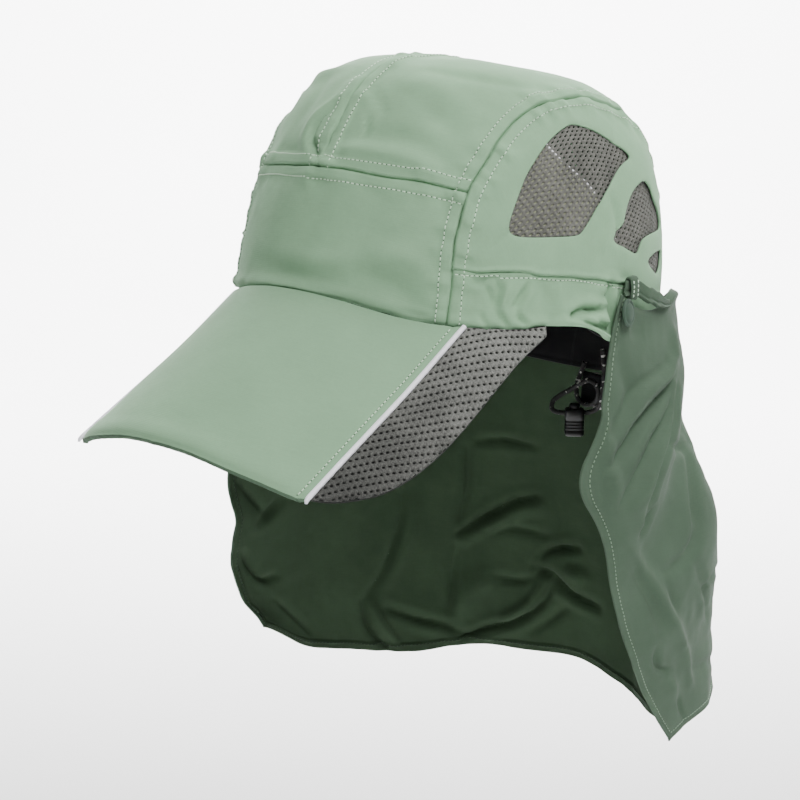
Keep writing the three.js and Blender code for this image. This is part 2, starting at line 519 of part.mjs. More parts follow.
// drawcord: from the band down round a small loop, up, down round a larger
// loop, through the lock and back up to the band
const CORD_ROUTE = [
  { x: 12.6, y: 76.2, z: -26.5 }, { x: 11, y: 76.1, z: -30.5 }, { x: 9.2, y: 76, z: -35.2 }, { x: 7.9, y: 76.2, z: -39.8 },
  { x: 9, y: 75.8, z: -43.8 }, { x: 12.2, y: 75.6, z: -46.2 }, { x: 16.6, y: 75.5, z: -46 },
  { x: 20.2, y: 75.4, z: -43.6 }, { x: 21.6, y: 75.1, z: -39.4 }, { x: 20.4, y: 74.4, z: -35.4 }, { x: 17, y: 73.6, z: -34 },
  { x: 12.4, y: 72.8, z: -36.2 }, { x: 7.4, y: 72, z: -39.8 }, { x: 2.9, y: 70.6, z: -42.8 },
  { x: 0, y: 68.4, z: -46.2 }, { x: 1.2, y: 66.8, z: -49.4 }, { x: 4.6, y: 68.4, z: -50.6 }, { x: 9.6, y: 73, z: -50.7 },
  { x: 13.8, y: 76.8, z: -50.6 }, { x: 17.4, y: 78, z: -49.2 }, { x: 20.4, y: 77.1, z: -46.4 }, { x: 22.6, y: 76.2, z: -41 },
  { x: 24, y: 75.7, z: -34.5 }, { x: 24.4, y: 75.4, z: -27 }, { x: 23.6, y: 75, z: -18.5 },
];
const LOCK_AT = { x: 9.6, y: 73, z: -55, turn: 42.4 };
const LOCK_SIZE = { w: 9, d: 7, h: 12.4 };
function cordTube(rows, steps, sides = 8, width = CORD_D) {
  const c = new THREE.CatmullRomCurve3(rows.map((r) => V(r.x, r.y, r.z)), false, 'centripetal');
  const s = new THREE.Shape();
  for (let k = 0; k < sides; k++) {
    const a = (k + 0.5) * 2 * Math.PI / sides;
    const x = width / 2 * Math.cos(a), y = width / 2 * Math.sin(a);
    if (k === 0) s.moveTo(x, y); else s.lineTo(x, y);
  }
  s.closePath();
  return new THREE.ExtrudeGeometry(s, { steps, bevelEnabled: false, extrudePath: c });
}

// cord lock: a barrel block with a push button on top, bored for the cord
function cordLock() {
  const { w, d, h } = LOCK_SIZE, r = 1.6;
  const s = new THREE.Shape();
  s.moveTo(-w / 2 + r, -d / 2); s.lineTo(w / 2 - r, -d / 2);
  s.quadraticCurveTo(w / 2, -d / 2, w / 2, -d / 2 + r); s.lineTo(w / 2, d / 2 - r);
  s.quadraticCurveTo(w / 2, d / 2, w / 2 - r, d / 2); s.lineTo(-w / 2 + r, d / 2);
  s.quadraticCurveTo(-w / 2, d / 2, -w / 2, d / 2 - r); s.lineTo(-w / 2, -d / 2 + r);
  s.quadraticCurveTo(-w / 2, -d / 2, -w / 2 + r, -d / 2);
  const body = new THREE.ExtrudeGeometry(s, { depth: h, bevelEnabled: true, bevelThickness: 0.5, bevelSize: 0.5, bevelOffset: -0.5, bevelSegments: 1, curveSegments: 3 });
  body.translate(0, 0, -h / 2);
  const button = new THREE.CylinderGeometry(2.6, 2.6, 3, 20);
  button.rotateX(Math.PI / 2);
  button.translate(0, 0, h / 2 + 1.2);
  const place = (g) => {
    g.rotateZ(LOCK_AT.turn * D2R);
    g.translate(LOCK_AT.x, LOCK_AT.y, LOCK_AT.z);
    return toManifold(g);
  };
  const bore = cordTube(CORD_ROUTE, CORD_STEPS, 8, CORD_D + 0.9);
  return fromManifold(place(body).add(place(button)).subtract(toManifold(bore)));
}

// ---- assembly -----------------------------------------------------------
const group = new THREE.Group();
group.name = 'legionnaire_cap';
function add(name, geometry, color, roughness = 0.8, metalness = 0) {
  const mesh = new THREE.Mesh(geometry, new THREE.MeshStandardMaterial({ color, roughness, metalness }));
  mesh.name = name;
  group.add(mesh);
  return mesh;
}
const SAGE = 0x8ea58f, MESH = 0x8b8c88, BLACK = 0x151515, WHITE = 0xdcdce0, GREEN = 0x4b6350;

add('crown_front_panel', shell(frontPanel, 16, 6, CLOTH), SAGE);
add('crown_top_left', shell(topPanel(1), 8, 17, CLOTH), SAGE);
add('crown_top_right', shell(topPanel(-1), 8, 17, CLOTH, { flip: true }), SAGE);
add('crown_side_left', cutWindows(shell(sidePanel, 14, 8, CLOTH), 1), SAGE);
add('crown_side_right', cutWindows(shell(mirrorX(sidePanel), 14, 8, CLOTH, { flip: true }), -1), SAGE);
add('side_mesh_left', shell(meshPanel, 9, 6, 0.9, { inset: CLOTH + GAP + 0.35 }), MESH);
add('side_mesh_right', shell(mirrorX(meshPanel), 9, 6, 0.9, { inset: CLOTH + GAP + 0.35, flip: true }), MESH);
add('side_band', shell(band, 56, 2, 1.5), SAGE);
add('sweatband', shell(sweat, 40, 2, 1.3, { closed: true, inset: 2.6 }), BLACK, 0.9);
add('brim', shell(brimCentre, 16, 8, BRIM_T), SAGE);
add('brim_mesh_left', shell(brimMesh(1), 4, 12, BRIM_T - 0.2), MESH);
add('brim_mesh_right', shell(brimMesh(-1), 4, 12, BRIM_T - 0.2, { flip: true }), MESH);
add('piping_left', shell(piping(1), 1, 14, BRIM_T + 0.4), WHITE, 0.5);
add('piping_right', shell(piping(-1), 1, 14, BRIM_T + 0.4, { flip: true }), WHITE, 0.5);
add('neck_flap', shell(flap, 42, 15, FLAP_T, { flip: true }), SAGE);
for (const [side, sign] of [['left', 1], ['right', -1]]) {
  add(`flap_strip_${side}`, shell(strip(sign), 12, 1, 0.9, { flip: sign < 0 }), SAGE);
  add(`loop_tab_${side}`, loopTab(sign), SAGE);
  const S = snapPlace(sign > 0 ? SNAP_UV.near : SNAP_UV.far);
  add(`snap_${side}`, turned(SNAP_PROFILE, S.at, S.dir), GREEN, 0.4);
}
add('drawcord', cordTube(CORD_ROUTE, CORD_STEPS), BLACK, 0.9);
add('cord_lock', cordLock(), BLACK, 0.4);
add('adjuster_tab', boxAt(13, 1.4, 14.6, V(15.4, 79.8, -39.9), [0, 0.08, 0]), BLACK, 0.9);
add('care_tag', boxAt(16, 0.5, 17, V(21.5, 81.5, -40.4), [0, -0.06, 0]), WHITE, 0.7);

export default group;
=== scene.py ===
"""Legionnaire cap, visual model: cloth crown with mesh windows, peak with mesh
inserts, snapped neck flap. Row frame: +Z up, peak to -Y, wearer's left +X,
origin at the centre of the head opening."""
import math
import bpy
import numpy as np
from mathutils import Vector, Matrix
from mathutils.bvhtree import BVHTree
from mathutils.geometry import delaunay_2d_cdt


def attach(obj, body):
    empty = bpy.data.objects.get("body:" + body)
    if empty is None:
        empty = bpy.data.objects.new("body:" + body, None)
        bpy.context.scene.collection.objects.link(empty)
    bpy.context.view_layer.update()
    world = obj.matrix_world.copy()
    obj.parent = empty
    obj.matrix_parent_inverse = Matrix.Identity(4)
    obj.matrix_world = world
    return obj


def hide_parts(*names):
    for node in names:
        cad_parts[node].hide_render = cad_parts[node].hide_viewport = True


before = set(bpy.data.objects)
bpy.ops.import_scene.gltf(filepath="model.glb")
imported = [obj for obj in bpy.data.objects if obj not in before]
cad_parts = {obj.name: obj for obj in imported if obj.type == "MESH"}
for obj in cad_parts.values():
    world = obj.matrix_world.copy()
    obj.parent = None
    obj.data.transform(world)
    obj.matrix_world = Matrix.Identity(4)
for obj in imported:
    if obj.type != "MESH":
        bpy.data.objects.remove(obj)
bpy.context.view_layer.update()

# ------------------------------------------------------------------ camera --
AZ, EL = math.radians(42.4), math.radians(14.0)
RIGHT = Vector((math.cos(AZ), math.sin(AZ), 0))
BACK = Vector((math.sin(AZ) * math.cos(EL), -math.cos(AZ) * math.cos(EL), math.sin(EL)))
UP = BACK.cross(RIGHT)
TARGET = RIGHT * -0.0255 + UP * -0.0463 + Vector((0, 0, 0.015))
cam_data = bpy.data.cameras.new('camera')
cam_data.sensor_width, cam_data.lens = 36.0, 36.0 * 2052 / 800
cam_data.clip_start = 0.05
cam = bpy.data.objects.new('camera', cam_data)
bpy.context.collection.objects.link(cam)
cam.matrix_world = Matrix.Translation(TARGET + BACK * 0.9) @ Matrix((RIGHT, UP, BACK)).transposed().to_4x4()
bpy.context.scene.camera = cam

# ---------------------------------------------------------------- geometry --
# Millimetres in all of the shape functions; meshes are made in metres.
PITCH, CY, CZ, CROWN_H = math.radians(11.57), -10.3, -0.6, 115.2
R_FRONT, R_SIDE, R_BACK, OVAL_Q = 95.1, 87.1, 99.5, 2.02
M_FRONT, M_SIDE, M_BACK, EXP_N = 1.97, 3.11, 1.8, 3.92
SEAM_X, FRONT_SEAM_H = -3.0, 61.0
PIPE_X, BRIM_T = 65.2, 2.4
RIM = [(0, 10.9), (8, 10.7), (16, 9.8), (24, 8.1), (32, 6.6), (45, 6.3), (58, 8), (69, 11), (78, 12), (92, 7), (110, 2), (130, -3), (155, -7), (180, -8)]
BAND_TOP = [(0, 28), (40, 28.4), (46, 28.6), (62, 30.7), (76, 31.8), (93, 30.8), (120, 27), (150, 21), (180, 19)]
SIDE_SEAM = [[40.4, 10.6], [40.6, 18], [41.9, 25.6], [46.2, 35], [52.9, 44.8], [62.5, 52.6], [83.9, 58.6], [100, 57.6],
             [116, 54.5], [128, 48], [138, 36], [144, 24], [147, 12.5]]
CORNER_A, CORNER_B = 0.26, 0.74
WINDOWS = [
    [(-52.3, 57.5), (-49.1, 64.7), (-41.1, 77.7), (-31.3, 87.2), (-23.7, 92.2), (-14.3, 96), (-9.5, 96.2), (-1.2, 93.6),
     (12.6, 86), (21.6, 80), (11.1, 78.2), (3.9, 74.2), (-2.5, 69.3), (-7.8, 65.6), (-14.3, 59.3), (-19.4, 54.7),
     (-22.5, 52.8), (-49.5, 54.4)],
    [(28.1, 70.2), (17.3, 67.9), (11.7, 64.1), (7.3, 58.5), (4.3, 54), (-3.2, 50), (-1.4, 47.9), (7.2, 44.2), (16.5, 40),
     (19.5, 44.1), (22.8, 46.5), (34, 46.9), (50, 46), (49, 51.5), (38, 60.5), (34, 67)],
    [(24.6, 36.4), (36, 38.5), (52, 37), (49, 30), (39.6, 27.3)],
]
BRIM_EDGE = [(0, -177.7), (14, -176.8), (36, -173.3), (52, -167.6), (62, -162.4), (65.2, -159.6), (71, -153.2),
             (74.6, -147.6), (79.7, -136.6), (83, -122.6), (84.4, -106), (84.6, -90), (84.3, -74), (83.8, -57), (84.2, -40.5)]
# neck flap stations: azimuth, top height, stand-off, middle x y z, hem x y z
FLAP = np.array([
    [91, 27, 4.2, 94, -16, -76, 88, 46, -184], [96.5, 21.5, 4.2, 98, 4, -78, 86, 60, -182],
    [110, 16.5, 4.6, 94, 33, -80, 82, 82, -180], [124, 21, 6, 80, 66, -80, 69, 104, -178],
    [138, 15, 5, 62, 87, -84, 53, 108, -192], [152, 7, 5.5, 44, 108, -90, 37, 112, -208],
    [166, 1, 5, 21, 117, -94, 16, 123, -207], [180, -1, 5, -2, 121, -96, -4, 128, -203],
    [194, 1, 5, -28, 119, -96, -28, 131, -199], [208, 7, 5.5, -54, 110, -94, -54, 124, -199],
    [222, 15, 6.5, -78, 92, -92, -78, 104, -196], [236, 21, 6, -96, 66, -88, -94, 76, -197],
    [250, 15.5, 4.4, -107, 34, -86, -108, 43, -190], [263.5, 21.5, 4.2, -112, 2, -86, -115, 18, -184],
    [269, 27, 4.2, -112, -37, -88, -116, -2, -177]], float)
# broad folds of the flap, as in the solid: u0 v0 u1 v1 width height
FOLDS = [(0.24, 0.12, 0.02, 0.5, 0.035, 5), (0.27, 0.16, 0.06, 0.62, 0.03, -4), (0.3, 0.22, 0.13, 0.7, 0.035, 4),
         (0.4, 0.3, 0.33, 0.85, 0.04, -3), (0.2, 0.44, 0.22, 0.84, 0.06, 11), (0.25, 0.16, 0.24, 0.36, 0.05, -5), (0.5, 0.2, 0.48, 0.95, 0.04, 4),
         (0.63, 0.25, 0.66, 1, 0.04, -4), (0.76, 0.3, 0.8, 0.95, 0.04, 4), (0.88, 0.15, 0.93, 0.6, 0.03, -3)]


def lerp(a, b, t):
    return a + (b - a) * t


def smooth(a, b, x):
    t = np.clip((x - a) / (b - a), 0, 1)
    return t * t * (3 - 2 * t)


def table(rows, x):
    rows = np.array(rows, float)
    x = np.abs(np.asarray(x, float))
    i = np.clip(np.searchsorted(rows[:, 0], x), 1, len(rows) - 1)
    t = np.clip((x - rows[i - 1, 0]) / (rows[i, 0] - rows[i - 1, 0]), 0, 1)
    return lerp(rows[i - 1, 1], rows[i, 1], t * t * (3 - 2 * t))


def wrap(p):
    return (np.asarray(p, float) + 180) % 360 - 180


def m_at(p):
    c = np.cos(np.radians(p))
    return c * c * np.where(c > 0, M_FRONT, M_BACK) + (1 - c * c) * M_SIDE


def rho(p):
    c, s = np.cos(np.radians(p)), np.sin(np.radians(p))
    b = np.where(c > 0, R_FRONT, R_BACK)
    return ((np.abs(s) / R_SIDE) ** OVAL_Q + (np.abs(c) / b) ** OVAL_Q) ** (-1 / OVAL_Q)


def psi_from_h(p, h):
    return np.degrees(np.arcsin(np.clip((np.maximum(h, 0) / CROWN_H) ** (m_at(p) / 2), 0, 1)))


def h_from_psi(p, psi):
    return CROWN_H * np.sin(np.radians(np.clip(psi, 0, 90))) ** (2 / m_at(p))


def place(r, p, h):
    x = r * np.sin(np.radians(p))
    y = -r * np.cos(np.radians(p)) + CY
    s, c = math.sin(PITCH), math.cos(PITCH)
    return np.stack([x, y * c + h * s, CZ - y * s + h * c], -1)


def crown_h(p, h):
    p, h = np.broadcast_arrays(np.asarray(p, float), np.asarray(h, float))
    k = np.where(h <= 0, 1.0, np.maximum(1 - (np.maximum(h, 0) / CROWN_H) ** m_at(p), 0) ** (1 / EXP_N))
    return place(rho(p) * k, p, h)


def crown_psi(p, psi):
    p, psi = np.broadcast_arrays(np.asarray(p, float), np.asarray(psi, float))
    k = np.cos(np.radians(psi)) ** (2 / EXP_N)
    return place(rho(p) * k, p, h_from_psi(p, psi))


def disc(p, psi):
    r = 90 - np.asarray(psi, float)
    return np.stack([r * np.sin(np.radians(p)), -r * np.cos(np.radians(p))], -1)


def polar(q):
    r = np.maximum(np.hypot(q[..., 0], q[..., 1]), 0.02)
    return np.degrees(np.arctan2(q[..., 0], -q[..., 1])), 90 - r


def crown_disc(q):
    return crown_psi(*polar(np.asarray(q, float)))


def curve(points, n=40):
    """Centripetal Catmull-Rom through the points; returns f(t) by arc length."""
    P = np.array(points, float)
    E = np.vstack([2 * P[0] - P[1], P, 2 * P[-1] - P[-2]])
    out = []
    s = np.linspace(0, 1, n, endpoint=False)[:, None]
    for i in range(1, len(E) - 2):
        x0, x1, x2, x3 = E[i - 1], E[i], E[i + 1], E[i + 2]
        d0, d1, d2 = (np.sum((b - a) ** 2) ** 0.25 for a, b in ((x0, x1), (x1, x2), (x2, x3)))
        t1 = ((x1 - x0) / d0 - (x2 - x0) / (d0 + d1) + (x2 - x1) / d1) * d1
        t2 = ((x2 - x1) / d1 - (x3 - x1) / (d1 + d2) + (x3 - x2) / d2) * d1
        out.append(x1 + t1 * s + (-3 * x1 + 3 * x2 - 2 * t1 - t2) * s ** 2 + (2 * x1 - 2 * x2 + t1 + t2) * s ** 3)
    Q = np.vstack(out + [E[-2][None]])
    L = np.concatenate([[0], np.cumsum(np.linalg.norm(np.diff(Q, axis=0), axis=1))])
    L /= L[-1]
    return lambda t: np.stack([np.interp(np.clip(t, 0, 1), L, Q[:, k]) for k in range(Q.shape[1])], -1)


def coons(bottom, top, left, right):
    z, o = np.array(0.0), np.array(1.0)
    p00, p10, p01, p11 = bottom(z), bottom(o), top(z), top(o)

    def f(u, v):
        U, W = np.asarray(u, float)[..., None], np.asarray(v, float)[..., None]
        return ((1 - W) * bottom(u) + W * top(u) + (1 - U) * left(v) + U * right(v)
                - ((1 - U) * (1 - W) * p00 + U * (1 - W) * p10 + (1 - U) * W * p01 + U * W * p11))
    return f


def band_psi(p):
    return psi_from_h(p, table(BAND_TOP, p))


for _k in (0, -1):
    SIDE_SEAM[_k][1] = float(band_psi(SIDE_SEAM[_k][0]))
side_seam = curve([disc(a, b) for a, b in SIDE_SEAM])


def front_h(p):
    return FRONT_SEAM_H - 2.4 * (np.abs(p) / 42) ** 3


def front_psi(p):
    return psi_from_h(p, front_h(p))


_t = np.arange(0, 0.5, 0.0005)
_p, _s = polar(side_seam(_t))
FRONT_MEET = float(_t[_s < front_psi(_p)][-1])
MEET_PHI = float(polar(side_seam(np.array(FRONT_MEET)))[0])


def seam_phi_at_h(h):
    """Azimuth of the side seam where it climbs the front, by height."""
    t = np.linspace(0, FRONT_MEET + 0.02, 400)
    p, s = polar(side_seam(t))
    hh = h_from_psi(p, s)
    return np.where(np.asarray(h) < hh[0], 41 + (SIDE_SEAM[0][0] - 41) * np.clip(np.asarray(h) / hh[0], 0, 1) ** 2, np.interp(h, hh, p))


def front_panel(u, v):
    h0 = 6.5 + (FRONT_SEAM_H - 2.4 - 6.5) * v
    p = (2 * u - 1) * seam_phi_at_h(h0)
    return p, lerp(table(RIM, p), front_h(p), v)


_y0, _y1 = -(90 - float(front_psi(0.0))), 90 - float(band_psi(180.0))
_pts = []
for _k in range(13):
    _b = lerp(_y0, _y1, _k / 12)
    _per = float(crown_disc(np.array([1.0, _b]))[0] - crown_disc(np.array([0.001, _b]))[0])
    _pts.append([SEAM_X / max(_per, 0.4), _b])
centre_seam = curve(_pts)


def top_patch(sign):
    def seam(t):
        q = side_seam(lerp(FRONT_MEET, 1, np.asarray(t, float)))
        return q * np.array([sign, 1.0])
    z, o = np.array(0.0), np.array(1.0)
    f0, f1 = float(polar(centre_seam(z))[0]), float(polar(seam(z))[0])
    b0, b1 = float(polar(centre_seam(o))[0]), float(polar(seam(o))[0])
    if sign > 0 and b0 < 0:
        b0 += 360
    if sign < 0 and b0 > 0:
        b0 -= 360
    front = lambda u: disc(lerp(f0, f1, np.asarray(u, float)), front_psi(lerp(f0, f1, np.asarray(u, float))))
    back = lambda u: disc(lerp(b0, b1, np.asarray(u, float)), band_psi(wrap(lerp(b0, b1, np.asarray(u, float)))))
    return coons(front, back, centre_seam, seam)


def side_chart():
    a, b = CORNER_A, CORNER_B
    pA, pB = SIDE_SEAM[0][0], SIDE_SEAM[-1][0]
    bottom = lambda u: disc(lerp(pA, pB, np.asarray(u, float)), band_psi(lerp(pA, pB, np.asarray(u, float))))
    return coons(bottom, lambda u: side_seam(lerp(a, b, np.asarray(u, float))),
                 lambda v: side_seam(a * np.asarray(v, float)), lambda v: side_seam(lerp(1, b, np.asarray(v, float))))


def brim_z(x, y):
    t, s = (y + 101) / 80, (x / 65) ** 2
    far = np.clip((-x - 30) / 54, 0, 1)
    back = np.clip((y + 165) / 60, 0, 1)
    near = smooth(40, 76, np.abs(x)) * smooth(-112, -60, y)
    return 32.4 + 49 * t - (29.1 + 5 * t) * s - 0.9 * t * t - 7 * far * far * back + 3.3 * near


brim_edge = curve(BRIM_EDGE)


def foot(p):
    p = np.asarray(p, float)
    P, c = crown_h(p, np.maximum(table(RIM, p), 7)), crown_h(p, 0 * p)
    n = np.stack([np.sin(np.radians(p)) / R_SIDE, -np.cos(np.radians(p)) / R_FRONT], -1)
    n /= np.linalg.norm(n, axis=-1, keepdims=True)
    return lerp(P[..., :2], c[..., :2], 0.15) + n * 0.75


def foot_phi(x):
    p = np.arange(0, 80, 0.05)
    return float(p[np.argmax(foot(p)[:, 0] >= x)])


def edge_t(x):
    t = np.arange(0, 1, 0.0005)
    return float(t[np.argmax(brim_edge(t)[:, 0] >= x)])


def brim_patch():
    w = PIPE_X - 0.6
    pF, tF = foot_phi(w), edge_t(w)

    def side(f):
        def g(u):
            q = f(np.abs(2 * np.asarray(u, float) - 1))
            return q * np.stack([np.where(np.asarray(u) < 0.5, -1.0, 1.0), np.ones(np.shape(u))], -1)
        return g
    bottom = side(lambda a: foot(a * pF))
    top = side(lambda a: brim_edge(a * tF))
    z, o = np.array(0.0), np.array(1.0)
    col = lambda u, sx: (lambda v: np.stack([np.full(np.shape(v), sx * w), lerp(bottom(u)[1], top(u)[1], np.asarray(v, float))], -1))
    return coons(bottom, top, col(z, -1), col(o, 1))


def brim_mesh_patch():
    w, phi_end, e1 = PIPE_X + 0.7, 67.5, 0.985
    pF, tF = foot_phi(w), edge_t(w)
    bottom = lambda u: foot(lerp(pF, phi_end, np.asarray(u, float)))
    t_in, t_out = np.array([w, brim_edge(np.array(tF))[1]]), brim_edge(np.array(tF + 0.012))
    top = lambda u: lerp(t_in, t_out, np.asarray(u, float)[..., None])
    z = np.array(0.0)
    left = lambda v: np.stack([np.full(np.shape(v), w), lerp(bottom(z)[1], t_in[1], np.asarray(v, float))], -1)

    def right(v):
        v = np.asarray(v, float)
        a, b = foot(np.array(phi_end)), brim_edge(np.array(e1))
        lo = lerp(a, b, np.clip(v / 0.04, 0, 1)[..., None])
        return np.where((v < 0.04)[..., None], lo, brim_edge(lerp(e1, tF + 0.012, np.clip((v - 0.04) / 0.96, 0, 1))))
    return coons(bottom, top, left, right)


# ---- neck flap ------------------------------------------------------------
def h_for(q, z):
    q, z = np.broadcast_arrays(np.asarray(q, float), np.asarray(z, float))
    lo, hi = np.full(q.shape, -30.0), np.full(q.shape, 60.0)
    for _ in range(26):
        m = (lo + hi) / 2
        low = crown_h(q, m)[..., 2] < z
        lo, hi = np.where(low, m, lo), np.where(low, hi, m)
    return (lo + hi) / 2


def out_dir(q):
    n = np.stack([np.sin(np.radians(q)) / R_SIDE, -np.cos(np.radians(q)) / R_BACK, 0 * np.asarray(q, float)], -1)
    return n / np.linalg.norm(n, axis=-1, keepdims=True)


def flap_base(u, v):
    u, v = np.broadcast_arrays(np.asarray(u, float), np.asarray(v, float))
    n = len(FLAP) - 1
    s = np.clip(u * n, 0, n - 1e-9)
    i = np.floor(s).astype(int)
    f = (s - i)[..., None]
    g = lambda k: FLAP[np.clip(k, 0, n)]
    a, b, c, d = g(i - 1), g(i), g(i + 1), g(i + 2)
    r = b + 0.5 * f * (c - a + f * (2 * a - 5 * b + 4 * c - d + f * (3 * (b - c) + d - a)))
    q = wrap(r[..., 0])
    T = crown_h(q, h_for(q, r[..., 1])) + out_dir(q) * r[..., 2:3]
    w = (v * (1 - 0.075 * np.exp(-((1 - u) / 0.045) ** 2)))[..., None]
    return (1 - w) * (1 - 2 * w) * T + 4 * w * (1 - w) * r[..., 3:6] + w * (2 * w - 1) * r[..., 6:9]


def fold_at(u, v):
    d = 0
    for u0, v0, u1, v1, w, a in FOLDS:
        ax, ay = u1 - u0, v1 - v0
        t = np.clip(((u - u0) * ax + (v - v0) * ay) / (ax * ax + ay * ay), 0, 1)
        dx, dy = u - (u0 + t * ax), (v - (v0 + t * ay)) * 0.55
        d = d + a * np.exp(-(dx * dx + dy * dy) / (w * w)) * (0.35 + 0.65 * np.sin(np.pi * np.minimum(0.15 + 0.85 * t, 1)))
    return d * np.minimum(1, v * 5)


def flap_surface(u, v):
    u, v = np.broadcast_arrays(np.asarray(u, float), np.asarray(v, float))
    e = 2e-3
    P = flap_base(u, v)
    n = -np.cross(flap_base(np.minimum(u + e, 1), v) - flap_base(np.maximum(u - e, 0), v),
                  flap_base(u, np.minimum(v + e, 1)) - flap_base(u, np.maximum(v - e, 0)))
    n /= np.linalg.norm(n, axis=-1, keepdims=True)
    n *= np.where((n[..., :1] * P[..., :1] + n[..., 1:2] * P[..., 1:2]) < 0, -1.0, 1.0)
    P = P + n * fold_at(u, v)[..., None]
    P[..., 1] -= 13 * np.exp(-((v - 0.36) / 0.08) ** 2 - (u / 0.045) ** 2)
    return P, n

# ------------------------------------------------------------ mesh helpers --
def unit(a):
    return a / np.maximum(np.linalg.norm(a, axis=-1, keepdims=True), 1e-12)


def noise(P, scale, seed=0):
    """Smooth value noise in space, -1 to 1."""
    Q = np.asarray(P, float) / scale + seed * 17.31 + 500.0
    i = np.floor(Q).astype(np.int64)
    f = Q - i
    f = f * f * f * (f * (f * 6 - 15) + 10)

    def h(a, b, c):
        n = (a * 73856093) ^ (b * 19349663) ^ (c * 83492791) ^ (seed * 1013904223)
        n = n & 0xffffffff
        n = ((n ^ (n >> 13)) * 1274126177) & 0xffffffff
        n = ((n ^ (n >> 16)) * 2246822519) & 0xffffffff
        n = n ^ (n >> 15)
        return (n & 0xffff) / 32767.5 - 1
    x, y, z = i[..., 0], i[..., 1], i[..., 2]
    fx, fy, fz = f[..., 0], f[..., 1], f[..., 2]
    out = 0
    for a in (0, 1):
        for b in (0, 1):
            for c in (0, 1):
                w = (fx if a else 1 - fx) * (fy if b else 1 - fy) * (fz if c else 1 - fz)
                out = out + w * h(x + a, y + b, z + c)
    return out


def normals_of(V, F):
    n = np.zeros_like(V)
    a, b, c = V[F[:, 0]], V[F[:, 1]], V[F[:, 2]]
    fn = np.cross(c - a, V[F[:, 3]] - b) if F.shape[1] == 4 else np.cross(b - a, c - a)
    for k in range(F.shape[1]):
        np.add.at(n, F[:, k], fn)
    return unit(n)


def grid_faces(nu, nv, closed=False):
    j, i = np.meshgrid(np.arange(nv), np.arange(nu if closed else nu - 0), indexing='ij')
    w = nu if closed else nu + 1
    i2 = (i + 1) % w if closed else i + 1
    return np.stack([j * w + i, j * w + i2, (j + 1) * w + i2, (j + 1) * w + i], -1).reshape(-1, 4)


def edge_dist(P):
    """Cumulative length along the second axis of a grid of points, from both ends."""
    s = np.linalg.norm(np.diff(P, axis=1), axis=-1)
    c = np.concatenate([np.zeros((len(P), 1)), np.cumsum(s, axis=1)], 1)
    return c, c[:, -1:] - c


def face_out(V, F, centre):
    N = normals_of(V, F)
    if np.mean(np.sum(N * (V - np.array(centre)), -1)) < 0:
        F = F[:, ::-1].copy()
    return F


def close_sheet(V, F, t, uv=None, bulge=0.35, N=None):
    """A closed body from an open sheet: the outer face V, F, an inner one t (a number or one per point) behind it, a rounded rim."""
    N = normals_of(V, F) if N is None else N
    n, m = len(V), F.shape[1]
    t = np.broadcast_to(np.asarray(t, float), (n,))[:, None]
    E = np.concatenate([F[:, [k, (k + 1) % m]] for k in range(m)])
    key = np.minimum(E[:, 0], E[:, 1]).astype(np.int64) * n + np.maximum(E[:, 0], E[:, 1])
    _, first, count = np.unique(key, return_index=True, return_counts=True)
    B = E[first[count == 1]]
    D = unit(V[B[:, 1]] - V[B[:, 0]])
    out = np.zeros_like(V)
    side = np.cross(D, (N[B[:, 0]] + N[B[:, 1]]) / 2)
    np.add.at(out, B[:, 0], side)
    np.add.at(out, B[:, 1], side)
    bv = np.unique(B)
    mid = V[bv] - N[bv] * t[bv] / 2 + unit(out[bv]) * t[bv] * bulge
    at = np.full(n, -1)
    at[bv] = 2 * n + np.arange(len(bv))
    rim1 = np.stack([B[:, 1], B[:, 0], at[B[:, 0]], at[B[:, 1]]], -1)
    rim2 = np.stack([at[B[:, 1]], at[B[:, 0]], n + B[:, 0], n + B[:, 1]], -1)
    VV = np.vstack([V, V - N * t, mid])
    FF = F.tolist() + (F[:, ::-1] + n).tolist() + rim1.tolist() + rim2.tolist()
    if uv is not None:
        uv = np.vstack([uv, uv, uv[bv]])
    return VV, FF, uv


def obj_from(name, V, F, mats, uv=None, index=None, smooth=True, replaces=()):
    me = bpy.data.meshes.new(name)
    me.from_pydata((np.asarray(V) * 0.001).tolist(), [], F if isinstance(F, list) else F.tolist())
    me.polygons.foreach_set('use_smooth', [smooth] * len(me.polygons))
    for m in mats if isinstance(mats, (list, tuple)) else [mats]:
        me.materials.append(m)
    if index is not None:
        me.polygons.foreach_set('material_index', index)
    if uv is not None:
        li = np.empty(len(me.loops), dtype=np.int32)
        me.loops.foreach_get('vertex_index', li)
        layer = me.uv_layers.new(name='UVMap')
        layer.data.foreach_set('uv', np.asarray(uv, np.float32)[li].ravel())
    me.validate()
    me.update()
    ob = bpy.data.objects.new(name, me)
    bpy.context.collection.objects.link(ob)
    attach(ob, 'root')
    if replaces:
        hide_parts(*replaces)
    return ob


def tris_of(V, F):
    out = []
    for f in (F if isinstance(F, list) else F.tolist()):
        for k in range(1, len(f) - 1):
            out.append((f[0], f[k], f[k + 1]))
    return out


def steps(length, near=(0.0, 0.3, 0.65, 1.05, 1.5, 2.0, 2.6, 3.2, 3.8, 4.3, 4.75, 5.2, 5.7, 6.3, 7.1, 8.1, 9.3), wide=1.7, a=True, b=True):
    """Shares of a length with fine spacing near its ends, where the seams are."""
    lo = list(near) if a else [0.0]
    hi = list(near) if b else [0.0]
    mid = length - lo[-1] - hi[-1]
    n = max(int(math.ceil(mid / wide)), 2)
    s = lo + [lo[-1] + mid * k / n for k in range(1, n)] + [length - x for x in hi[::-1]]
    return np.array(s) / length


# ------------------------------------------------------------------- seams --
ARC_PSI = np.linspace(0, 90, 1801)


def _arc_table():
    P = crown_psi(np.full(1801, 60.0), ARC_PSI)
    s = np.concatenate([[0], np.cumsum(np.linalg.norm(np.diff(P, axis=0), axis=1))])
    return s[-1] - s


